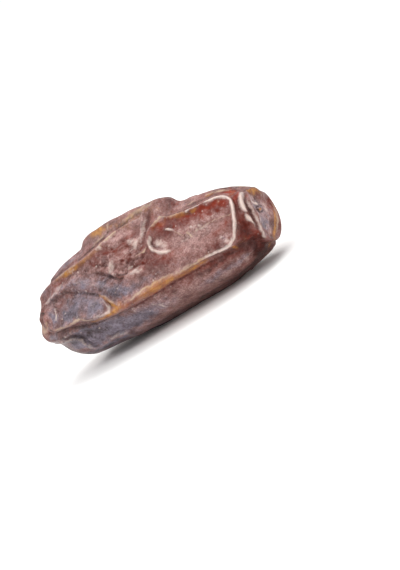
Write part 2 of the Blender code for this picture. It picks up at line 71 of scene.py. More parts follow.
# ridges that the skin sags between; each point is (x, angle, height, half width)
RIDGES = [
    # the long ridge across the front
    [(-20.2, 0, 0.35, 0.4), (-17.5, 1, 0.35, 0.4), (-14.6, 1, 0.3, 0.45), (-12.9, 0, 0.3, 0.5),
     (-11, -3, 0.4, 0.7), (-8.9, -6, 0.5, 0.85), (-6.5, -7, 0.5, 0.9), (-3.4, -7, 0.5, 0.9),
     (-0.3, -6, 0.5, 0.85), (3.6, -5, 0.45, 0.7), (7.4, -4, 0.45, 0.6), (11, -3, 0.45, 0.5),
     (13.7, -2.4, 0.45, 0.42), (15.7, -3.5, 0.45, 0.4), (16.9, -4.9, 0.45, 0.4), (17.9, -5.6, 0.45, 0.4),
     (18.8, -4.7, 0.45, 0.4)],
    # the rim of the right facet: its right side, then its top
    [(18.8, -4.7, 0.45, 0.4), (19.5, -1.6, 0.45, 0.4), (20.1, 2.9, 0.45, 0.4), (20.55, 8.6, 0.45, 0.4),
     (20.93, 14.6, 0.45, 0.4), (21.18, 22, 0.45, 0.4), (21.37, 30, 0.45, 0.4), (21.45, 40.5, 0.45, 0.4),
     (21.39, 50.7, 0.45, 0.4), (21.05, 58.2, 0.45, 0.4), (20.41, 63.7, 0.45, 0.4),
     (19.63, 66.2, 0.45, 0.4)],
    [(19.63, 66.2, 0.45, 0.4), (18.8, 66.5, 0.45, 0.4), (17.8, 64.5, 0.45, 0.4), (16.7, 62.6, 0.45, 0.4),
     (15.6, 61.5, 0.45, 0.4), (14.4, 61.1, 0.45, 0.4), (13.1, 60.6, 0.45, 0.4), (12.2, 60.4, 0.45, 0.4),
     (11.2, 61, 0.45, 0.4), (10.2, 62, 0.45, 0.4), (9.3, 63.8, 0.45, 0.4), (8.5, 66.8, 0.45, 0.4),
     (7.7, 69.9, 0.45, 0.4)],
    # short branches from the rim's left corner, down and up over the top
    [(7.7, 69.9, 0.4, 0.42), (7.3, 66, 0.3, 0.4), (6.6, 60.5, 0.2, 0.38), (6, 56, 0, 0.38)],
    [(7.7, 69.9, 0.4, 0.42), (7.1, 78, 0.4, 0.42), (6.4, 86, 0.4, 0.45), (5.8, 93, 0.4, 0.48),
     (5.1, 98.5, 0.4, 0.5), (4.3, 104, 0.3, 0.5)],
    # the high back edge, which makes the outline's raised shoulder
    [(-20, 92, -0.2, 1.5), (-16, 97, -0.2, 1.5), (-12.4, 99, -0.1, 1.2), (-10.7, 100, 1, 1.2),
     (-9.2, 101, 1.5, 1.3), (-7, 101, 1.6, 1.4), (-4, 102, 1.7, 1.6), (0, 103, 1.8, 1.6),
     (4, 104, 1.9, 1.5), (7.2, 104, 2, 1.2), (8.6, 104, 1.5, 1), (9.8, 104, 0.3, 1),
     (12, 102, 0.1, 1), (20, 105, 0, 1)],
    # the crest along the upper left
    [(-22.5, 64, 0.1, 0.5), (-18.5, 58, 0.3, 0.5), (-15, 57, 0.4, 0.5), (-12.2, 57, 0.45, 0.48),
     (-10, 57.8, 0.45, 0.42), (-8.4, 58.6, 0.45, 0.4), (-7, 61, 0.45, 0.4), (-5.4, 64.6, 0.45, 0.4),
     (-4.4, 68.4, 0.45, 0.4), (-3.4, 72.6, 0.45, 0.4), (-2.2, 76.6, 0.45, 0.4), (-0.9, 79.6, 0.42, 0.4),
     (0.7, 84.5, 0.4, 0.4), (2, 89, 0.4, 0.4), (3.3, 93, 0.4, 0.42)],
    # the lip and the tip at the left end
    [(-21.4, 24, 0.1, 0.35), (-21.5, 12, 0.4, 0.35), (-21.3, 5, 0.4, 0.35), (-20.2, 0, 0.35, 0.4)],
    [(-24.2, 30, 0.3, 0.7), (-24.2, 14, 0.3, 0.8), (-24.1, 4, 0.7, 0.9), (-24, -3, 1, 0.9),
     (-23.4, -12, 0.9, 0.8), (-21.3, -12, 0.5, 0.6), (-18.6, -10, 0.35, 0.5), (-16.8, -8, 0.3, 0.45),
     (-14.6, -9, 0.2, 0.4), (-12.5, -12, 0, 0.4)],
    # folds low on the left
    [(-23.2, -20, 0.4, 0.6), (-21, -15.5, 0.4, 0.55), (-19, -14.5, 0.4, 0.45), (-17.7, -16, 0.45, 0.42),
     (-17, -19, 0.5, 0.4), (-16.7, -23.5, 0.5, 0.4), (-16.6, -29, 0.5, 0.4), (-16.5, -34, 0.5, 0.42),
     (-16, -39, 0.45, 0.42)],
    [(-16, -39, 0.45, 0.42), (-14.4, -40, 0.4, 0.42), (-12.4, -37, 0.4, 0.42), (-10.7, -35, 0.4, 0.42),
     (-9.7, -35.5, 0.4, 0.42), (-8.7, -39, 0.4, 0.42), (-8.3, -46, 0.35, 0.42), (-8.8, -62, 0, 0.5)],
    # the bead beside the right end, and the rim round the end's own face
    [(22.2, 76, 0.25, 0.4), (22.5, 66, 0.32, 0.38), (22.65, 52, 0.35, 0.36), (22.8, 40, 0.35, 0.36),
     (22.95, 26, 0.35, 0.36), (23, 13, 0.3, 0.36), (23, 2, 0.2, 0.34), (22.9, -7, 0, 0.34)],
    [(23.1, 80, 0.25, 0.4), (23.4, 64, 0.3, 0.36), (23.6, 48, 0.3, 0.32), (23.8, 34, 0.3, 0.32),
     (23.95, 20, 0.3, 0.32), (23.85, 4, 0.3, 0.32), (23.6, -8, 0.3, 0.34), (23.35, -22, 0.3, 0.36),
     (23.05, -40, 0.3, 0.38), (22.9, -66, 0.35, 0.42), (23.1, -95, 0.3, 0.45),
     (23.8, -125, 0.2, 0.5), (24.1, -160, 0.15, 0.6), (23.7, -195, 0.2, 0.6), (24, -232, 0.15, 0.5),
     (23.6, -262, 0.25, 0.45), (23.4, -280, 0.3, 0.4)],
    # four long ridges on the hidden side and underneath
    [(-23, 135, 0.1, 0.6), (-16, 143, 0.4, 0.7), (-10, 138, 0.5, 0.7), (-4, 146, 0.5, 0.8),
     (3, 140, 0.45, 0.7), (9, 148, 0.45, 0.7), (15, 138, 0.45, 0.6), (21.5, 142, 0.3, 0.6)],
    [(-23, 180, 0.1, 0.6), (-15, 172, 0.4, 0.7), (-9, 180, 0.5, 0.7), (-2, 188, 0.5, 0.8),
     (4, 182, 0.5, 0.8), (10, 190, 0.45, 0.7), (17, 184, 0.4, 0.6), (22, 186, 0.3, 0.6)],
    [(-23, 222, 0.1, 0.6), (-16, 228, 0.4, 0.7), (-9, 222, 0.4, 0.7), (-2, 232, 0.4, 0.7),
     (5, 226, 0.4, 0.7), (11, 236, 0.4, 0.7), (17, 230, 0.4, 0.6), (22, 226, 0.3, 0.6)],
    [(-21, 264, 0, 0.8), (-14, 268, 0.1, 1.2), (-8, 269, 0.3, 2), (-2, 270, 0.6, 2.2),
     (4, 269, 0.8, 2.2), (9, 270, 0.6, 2), (15, 268, 0.2, 1.2), (21, 262, 0.1, 0.6)],
    # short ridges that join the long ones at the back
    [(-10, 138, 0.4, 0.6), (-7, 158, 0.3, 0.6), (-9, 180, 0.4, 0.6)],
    [(9, 148, 0.4, 0.6), (6, 165, 0.3, 0.6), (4, 182, 0.4, 0.6)],
    [(-2, 188, 0.4, 0.6), (-4, 210, 0.3, 0.6), (-2, 232, 0.4, 0.6)],
    [(10, 190, 0.4, 0.6), (13, 212, 0.3, 0.6), (11, 236, 0.4, 0.6)],
    [(-15, 172, 0.4, 0.6), (-18, 200, 0.3, 0.6), (-16, 228, 0.4, 0.6)],
    [(-6, 102, 0.4, 0.6), (-8, 120, 0.3, 0.6), (-10, 138, 0.4, 0.6)],
    [(12, 102, 0.2, 0.6), (12, 122, 0.3, 0.6), (9, 148, 0.4, 0.6)],
    [(5, 226, 0.3, 0.6), (3, 247, 0.3, 0.6), (2, 268, 0.3, 0.6)],
    [(-9, 222, 0.3, 0.6), (-12, 245, 0.3, 0.6), (-14, 268, 0.3, 0.6)],
    [(15, 270, 0.3, 0.6), (16, 250, 0.3, 0.6), (17, 230, 0.3, 0.6)],
]

# folds above zero and creases below it, laid over the sagging skin; points as above
FOLDS = [
    # the curl at the left of the right facet, the hollow inside it, and a thin bead beside it
    [(7.1, 68, 0.2, 0.42), (6.7, 60, 0.35, 0.36), (5.9, 56, 0.35, 0.32), (5.2, 54, 0.3, 0.3),
     (4.7, 52, 0.1, 0.3)],
    [(5.7, 53, 0, 0.3), (5.35, 50, 0.4, 0.32), (5, 46, 0.5, 0.34), (4.85, 42, 0.5, 0.34),
     (4.9, 38, 0.5, 0.34), (5.35, 34, 0.5, 0.34), (6, 29.5, 0.5, 0.36), (6.7, 26.5, 0.4, 0.36),
     (7.5, 24.5, 0.25, 0.34), (8.5, 23.5, 0, 0.34)],
    [(6.1, 49, 0, 0.28), (5.6, 45, -0.25, 0.28), (5.5, 40, -0.35, 0.3), (5.9, 36, -0.3, 0.3),
     (6.8, 32, -0.1, 0.3)],
    [(7.9, 53.5, 0, 0.22), (8.8, 51, 0.2, 0.22), (9.6, 48, 0.24, 0.22), (10.1, 45, 0.2, 0.22),
     (11, 39, 0.14, 0.22), (12.4, 31, 0, 0.22)],
    # the deep line behind the crest along the upper left
    [(-10.3, 61.6, 0, 0.24), (-8.7, 62.8, -0.2, 0.26), (-7.2, 65.4, -0.25, 0.26), (-5.6, 69.2, -0.28, 0.26),
     (-4.5, 73, -0.3, 0.26), (-3.5, 77.2, -0.3, 0.26), (-2.3, 81.2, -0.3, 0.26), (-0.9, 84.2, -0.28, 0.26),
     (0.7, 89, -0.26, 0.26), (2, 93.4, -0.26, 0.26), (3.3, 97.4, -0.2, 0.26)],
    # a crest above the rim's top
    [(7.6, 80, 0.1, 0.4), (8.4, 75, 0.3, 0.4), (9.6, 71.5, 0.35, 0.38), (11.3, 71, 0.35, 0.38),
     (12.6, 72.4, 0.35, 0.38), (13.7, 73.4, 0.35, 0.38), (14.8, 75, 0.35, 0.38), (16, 76.7, 0.35, 0.38),
     (17.2, 78.2, 0.35, 0.38), (18.4, 79.3, 0.35, 0.38), (19.6, 79.6, 0.3, 0.4), (20.8, 79, 0.2, 0.45),
     (21.6, 78, 0, 0.45)],
    [(8.2, 71.5, 0, 0.22), (9.2, 68.4, -0.15, 0.22), (10.6, 66.4, -0.2, 0.22), (12.3, 66, -0.2, 0.22),
     (13.5, 66.8, -0.2, 0.22), (14.8, 68, -0.22, 0.24), (16, 69.6, -0.22, 0.24),
     (17.2, 71.4, -0.25, 0.24), (18.4, 73, -0.25, 0.24), (19.4, 73, -0.2, 0.24), (20.4, 70.8, 0, 0.24)],
    # the fold that comes down from the top, and the deep line at its right
    [(3.4, 98, 0.5, 0.42), (3.25, 92, 0.55, 0.4), (3.15, 84, 0.55, 0.4), (3.1, 74, 0.55, 0.4),
     (3, 64, 0.5, 0.4), (2.8, 57, 0.4, 0.42), (2.3, 50, 0.2, 0.42), (1.8, 45, 0, 0.42)],
    [(4.4, 98, -0.2, 0.4), (4.3, 92, -0.35, 0.4), (4.2, 84, -0.42, 0.4), (4.1, 74, -0.42, 0.38),
     (4, 64, -0.42, 0.36), (3.9, 56, -0.38, 0.36), (3.75, 49, -0.25, 0.36), (3.6, 43, 0, 0.36)],
    # the sharp crease in the middle and the lip over it
    [(-8.6, 44, 0, 0.2), (-7.3, 40, -0.25, 0.22), (-6.3, 36, -0.35, 0.24), (-5.5, 32.5, -0.4, 0.26),
     (-4.8, 29, -0.45, 0.28), (-4, 24, -0.4, 0.28), (-3.3, 20, -0.3, 0.26), (-2.5, 17, 0, 0.26)],
    [(-4.1, 27.5, 0, 0.2), (-3.3, 26, -0.2, 0.2), (-2.1, 23.5, -0.25, 0.2), (-1.1, 22.5, -0.2, 0.2),
     (-0.8, 26, 0, 0.2)],
    [(-8.4, 47, 0, 0.4), (-7.3, 44, 0.15, 0.4), (-6.2, 40, 0.25, 0.4), (-5, 35.5, 0.25, 0.42),
     (-4.1, 30.5, 0.2, 0.4), (-3.4, 27, 0, 0.35)],
    # the longer crease at the left and the swell above it
    [(-18.6, 37, 0, 0.3), (-17, 38, -0.15, 0.3), (-15, 37, -0.25, 0.32), (-13, 32.5, -0.3, 0.32),
     (-11.4, 27, -0.3, 0.3), (-9.6, 19.5, -0.35, 0.28), (-8.2, 14, -0.25, 0.26), (-7.4, 9, 0, 0.25)],
    [(-15.8, 48, 0, 0.9), (-12.8, 42, 0.3, 1), (-10, 33, 0.4, 1.1), (-7.6, 24, 0.4, 1.1),
     (-5.5, 15, 0.3, 1), (-3.9, 7, 0, 0.9)],
    # fine ridges and the notch at the left end
    [(-23, 43, 0.1, 0.35), (-21.4, 41, 0.35, 0.38), (-19.5, 42, 0.35, 0.4), (-17, 40, 0.3, 0.4),
     (-15.1, 41, 0.3, 0.4), (-13.4, 44, 0.25, 0.4), (-12, 48, 0.15, 0.4), (-11, 51, 0, 0.4)],
    [(-19.3, 36, 0.1, 0.35), (-18.9, 31, 0.3, 0.38), (-18.5, 21, 0.3, 0.38), (-17.9, 12, 0.2, 0.38),
     (-18.4, 5, 0.05, 0.4)],
    [(-24.4, 33, -0.15, 0.36), (-23, 31, -0.45, 0.32), (-21.8, 27, -0.35, 0.3), (-20.6, 24, 0, 0.3)],
    # the groove under the long ridge
    [(-23, -5, -0.1, 0.3), (-21.4, -5, -0.25, 0.26), (-18.4, -4, -0.25, 0.26), (-15.9, -4, -0.25, 0.26),
     (-13.8, -6, -0.25, 0.26), (-11.8, -10, -0.2, 0.3), (-8.7, -13, -0.2, 0.3), (-4, -14, -0.18, 0.35),
     (0, -13, -0.15, 0.35), (6, -11, -0.12, 0.35), (14, -12, -0.12, 0.4), (18, -13, 0, 0.4)],
    # the spur up from the long ridge, the rim at its left, and the gap between
    [(-8, 15, 0.05, 0.28), (-7.5, 11, 0.3, 0.3), (-6.9, 5, 0.4, 0.35), (-5.9, 1, 0.45, 0.42),
     (-4.7, -4, 0.4, 0.6)],
    [(-8.4, 13, 0.05, 0.28), (-7.8, 8, 0.2, 0.28), (-7.5, 4, 0.28, 0.3), (-7.3, 0, 0.3, 0.3),
     (-7.4, -3.5, 0.3, 0.3), (-8.1, -4.5, 0.3, 0.3), (-9.2, -4, 0.25, 0.3), (-10.8, -2, 0.1, 0.3)],
    [(-7.9, 9, -0.1, 0.25), (-7, 3, -0.35, 0.28), (-6.9, -2, -0.35, 0.3), (-7.6, -5, -0.1, 0.3)],
    # grooves low on the left and round the end of the lower lobe
    [(-18.9, -11, -0.15, 0.28), (-17.4, -12.5, -0.3, 0.3), (-16.5, -16, -0.4, 0.3), (-16.1, -21, -0.42, 0.3),
     (-15.9, -26.5, -0.42, 0.28), (-15.8, -32, -0.4, 0.28), (-15.3, -36.5, -0.2, 0.28)],
    [(-13.7, -36, 0, 0.26), (-11.7, -33.5, -0.2, 0.26), (-10.1, -32, -0.25, 0.26), (-9, -33.5, -0.25, 0.26),
     (-8, -38, -0.25, 0.26), (-7.6, -45, 0, 0.26)],
    [(14, -12, -0.15, 0.6), (18, -15, -0.35, 0.7), (20.3, -21, -0.6, 0.75), (21.4, -32, -0.7, 0.8),
     (21.2, -46, -0.6, 0.8), (19.5, -56, -0.3, 0.8)],
    # the hollow band between the right facet and the end, and the groove round the end's face
    [(21, 78, -0.1, 0.5), (21.7, 66, -0.18, 0.5), (22, 50, -0.22, 0.5), (22.15, 30, -0.28, 0.55),
     (22.1, 10, -0.35, 0.65), (21.9, -8, -0.42, 0.8), (22.1, -27, -0.5, 0.8), (22, -50, -0.4, 0.8),
     (21.8, -75, -0.3, 0.7)],
    [(22.9, 72, 0, 0.22), (23.1, 58, -0.25, 0.22), (23.25, 42, -0.3, 0.22), (23.4, 24, -0.32, 0.22),
     (23.4, 8, -0.3, 0.22), (23.25, -6, -0.25, 0.24), (23.05, -20, -0.1, 0.25)],
    # fine winding folds in the middle
    [(-5.4, 62, 0, 0.22), (-4.2, 60, -0.16, 0.22), (-3, 58.5, -0.2, 0.22), (-1.8, 61, -0.2, 0.22),
     (-0.7, 59.5, -0.22, 0.22), (0.2, 56.5, -0.25, 0.22), (0.5, 52.5, -0.25, 0.22), (0.1, 49, 0, 0.22)],
    [(-3.6, 47, 0, 0.2), (-2.1, 44, -0.18, 0.22), (-1, 38, -0.2, 0.22), (-0.2, 32, -0.18, 0.22),
     (1.4, 35, -0.18, 0.22), (2.5, 31, -0.18, 0.22), (4.2, 35, 0, 0.22)],
    [(-1.2, 28, 0, 0.2), (0, 26, -0.18, 0.22), (1.2, 25.5, -0.2, 0.22), (2.6, 23.5, -0.15, 0.22),
     (4, 24, 0, 0.2)],
    [(-3.3, 50, 0, 0.3), (-3.6, 45, 0.25, 0.34), (-4, 39.5, 0.28, 0.34), (-4.6, 35.5, 0.1, 0.3)],
    [(-1.1, 23, 0, 0.3), (-0.4, 20.5, 0.25, 0.34), (0.4, 18, 0.25, 0.34), (1.2, 15, 0, 0.3)],
    [(-6, 66, 0, 0.25), (-4.4, 67, 0.12, 0.28), (-2.6, 68, 0.16, 0.28), (-0.6, 66, 0.14, 0.28),
     (0.6, 66, 0, 0.25)],
    [(-9.8, 51, 0, 0.22), (-8.8, 49.5, 0.14, 0.24), (-7.4, 48.5, 0.14, 0.24), (-6, 49.5, 0, 0.22)],
]

# dents below zero and bumps above it: (x, angle, reach along, reach round, height)
DENTS = [
    (1.6, 44, 0.9, 1.0, -0.3),
    (1.5, 57, 0.8, 0.9, 0.4),
    (-1.7, 34, 0.6, 0.8, 0.2),
    (0, 22, 1.2, 0.6, 0.2),
    (-23.4, 42, 1.2, 1.8, 0.3),
    (-4.2, 54, 1.0, 0.7, 0.3),
    (-6.8, 52, 1.2, 0.6, 0.25),
    (-13.9, -27, 1.6, 1.6, 0.2),
    (-19.8, -33, 1.6, 2.2, 0.2),
    (-20.5, -60, 4.0, 4.0, 0.6),
    (7.6, 92, 1.1, 1.4, -0.7),
    (8.6, 84, 0.8, 0.8, -0.3),
    (24.35, 28, 0.3, 0.3, 0.5),
    (24.3, 28, 0.9, 0.9, -0.25),
    (23.3, 110, 0.8, 3.5, 0.75),
    (23.8, 158, 0.8, 3, -0.25),
    (21.2, 141, 2.2, 2, -0.2),
    (1.3, 54, 0.35, 0.4, 0.25),
]


def profile(values, x):
    """The half size at x: cubic pieces through the stations, with the neighbours' slope at each."""
    at = np.array(STATIONS, float)
    value = np.array(values, float)
    slope = np.gradient(value, at)
    i = np.clip(np.searchsorted(at, x) - 1, 0, len(at) - 2)
    step = at[i + 1] - at[i]
    t = np.clip((x - at[i]) / step, 0, 1)
    start = value[i] * (1 + 2 * t) * (1 - t) ** 2 + slope[i] * step * t * (1 - t) ** 2
    end = value[i + 1] * t * t * (3 - 2 * t) + slope[i + 1] * step * t * t * (t - 1)
    return start + end


def body_place(turn, angle):
    """Points of the smooth body. turn runs from 0 at the left end to pi at the right, angle is in radians.

    x follows the cosine of turn. A cross-section is four quarter ellipses between the half sizes at x. It
    closes towards the ends by the root of one less a high power of that cosine.
    """
    half = np.where(turn < np.pi / 2, HALF_LEFT, HALF_RIGHT)
    blunt = np.where(turn < np.pi / 2, BLUNT_LEFT, BLUNT_RIGHT)
    x = -np.cos(turn) * half
    closing = np.sqrt(np.clip(1 - np.abs(np.cos(turn)) ** blunt, 0, 1))
    c, s = np.cos(angle), np.sin(angle)
    across = np.where(c > 0, profile(FRONT, x), profile(BACK, x))
    upright = np.where(s > 0, profile(TOP, x), profile(UNDER, x))
    radius = closing / np.sqrt((c / across) ** 2 + (s / upright) ** 2)
    return np.stack([x, -radius * c, radius * s - SLOPE * x], -1)


def body_normal(turn, angle):
    """Outward directions of the smooth body: its two tangents' cross product. The poles face along X."""
    step = 0.001
    before, after = np.clip(turn - step, 0, np.pi), np.clip(turn + step, 0, np.pi)
    lengthwise = body_place(after, angle) - body_place(before, angle)
    around = body_place(turn, angle + step) - body_place(turn, angle - step)
    normal = np.cross(around, lengthwise)
    size = np.linalg.norm(normal, axis=-1, keepdims=True)
    pole = np.stack([-np.sign(np.cos(turn)), 0 * turn, 0 * turn], -1)
    normal = np.where(size > 1e-9, normal / np.maximum(size, 1e-12), pole)
    outwards = np.sign((normal * body_place(turn, angle)).sum(-1, keepdims=True))
    return normal * np.where(outwards == 0, 1, outwards)


def on_body(x, degrees):
    """Points of the smooth body at x, whose share of the half length is turn's cosine, and at degrees."""
    half = np.where(x < 0, HALF_LEFT, HALF_RIGHT)
    return body_place(np.arccos(np.clip(-x / half, -1, 1)), np.radians(degrees))


def smooth_line(points):
    """A smooth curve through a ridge's points, as close rows of (x, angle, height, half width).

    Between two points it is a cubic, and at each point it runs parallel to the line joining the neighbours.
    """
    given = np.array(points, float)
    p = np.vstack([2 * given[0] - given[1], given, 2 * given[-1] - given[-2]])
    rows = []
    for a, b, c, d in zip(p[:-3], p[1:-2], p[2:-1], p[3:]):
        length = np.hypot(c[0] - b[0], (c[1] - b[1]) * MM_PER_DEGREE)
        t = np.linspace(0, 1, max(2, int(length / LINE_STEP) + 1), endpoint=False)[:, None]
        curve = 2 * b + (c - a) * t + (2 * a - 5 * b + 4 * c - d) * t ** 2 + (3 * b - 3 * c + d - a) * t ** 3
        rows.append(curve / 2)
    return np.vstack(rows + [given[-1:]])


def nearest(places, points, reach=12):
    """Distance from each place to a smooth line, with the line's height and half width there.

    The line is taken in short straight pieces, and the nearest point on any of them counts. Places farther
    than reach from the line's own box are left at a great distance.
    """
    rows = smooth_line(points)
    line = on_body(rows[:, 0], rows[:, 1])
    boxed = np.all((places > line.min(axis=0) - reach) & (places < line.max(axis=0) + reach), axis=1)
    some = places[boxed]
    distance = np.full(len(some), np.inf)
    height = np.zeros(len(some))
    width = np.ones(len(some))
    for k in range(len(line) - 1):
        way = line[k + 1] - line[k]
        t = np.clip((some - line[k]) @ way / (way @ way), 0, 1)
        away = np.linalg.norm(some - line[k] - t[:, None] * way, axis=1)
        closer = away < distance
        distance = np.where(closer, away, distance)
        height = np.where(closer, rows[k, 2] + (rows[k + 1, 2] - rows[k, 2]) * t, height)
        width = np.where(closer, rows[k, 3] + (rows[k + 1, 3] - rows[k, 3]) * t, width)
    found = np.stack([np.full(len(places), 99.0), np.zeros(len(places)), np.ones(len(places))])
    found[:, boxed] = distance, height, width
    return found


# The photograph's view of the fruit: from the front right and a little above, turned until the right end
# is the high one. It is worked out here, as the marks on the skin are placed by it, and the camera takes it
# over.
CAMERA_TURN, CAMERA_HEIGHT = np.radians(30.45), np.radians(10.7)
LENS, SENSOR = 150, 36
FRAME_PX = (400, 570)
SCALE_PX = 5.65                      # pixels of the photograph to a millimetre
FRUIT_RISE = np.radians(27)          # how steeply the fruit's line rises to the right in the photograph
FRUIT_AT_PX = (158.64, 265.33)       # where the photograph shows the fruit's middle
MARKS_FROM_PX = (160, 268)           # and the place that the marks are counted from
CELL_PX = 0.8                        # of the skin seen in one cell of this size, the nearest hides the rest
SKIN_DEPTH = 0.45                    # unless it lies within this depth
MM_ALONG, MM_ROUND = 0.2, 0.19       # skin that one pixel shows, along the fruit and round it

stand_off = LENS / SENSOR * FRAME_PX[1] / SCALE_PX
back = np.array([
    np.sin(CAMERA_TURN) * np.cos(CAMERA_HEIGHT),
    -np.cos(CAMERA_TURN) * np.cos(CAMERA_HEIGHT),
    np.sin(CAMERA_HEIGHT)])
level = np.array([np.cos(CAMERA_TURN), np.sin(CAMERA_TURN), 0])
upright = np.cross(back, level)
lies = np.array([1, 0, -SLOPE])
roll = FRUIT_RISE - np.arctan2(lies @ upright, lies @ level)
right = np.cos(roll) * level - np.sin(roll) * upright
up = np.sin(roll) * level + np.cos(roll) * upright
aside = (FRUIT_AT_PX[0] - FRAME_PX[0] / 2) / SCALE_PX
below = (FRUIT_AT_PX[1] - FRAME_PX[1] / 2) / SCALE_PX
eye = back * stand_off - right * aside + up * below

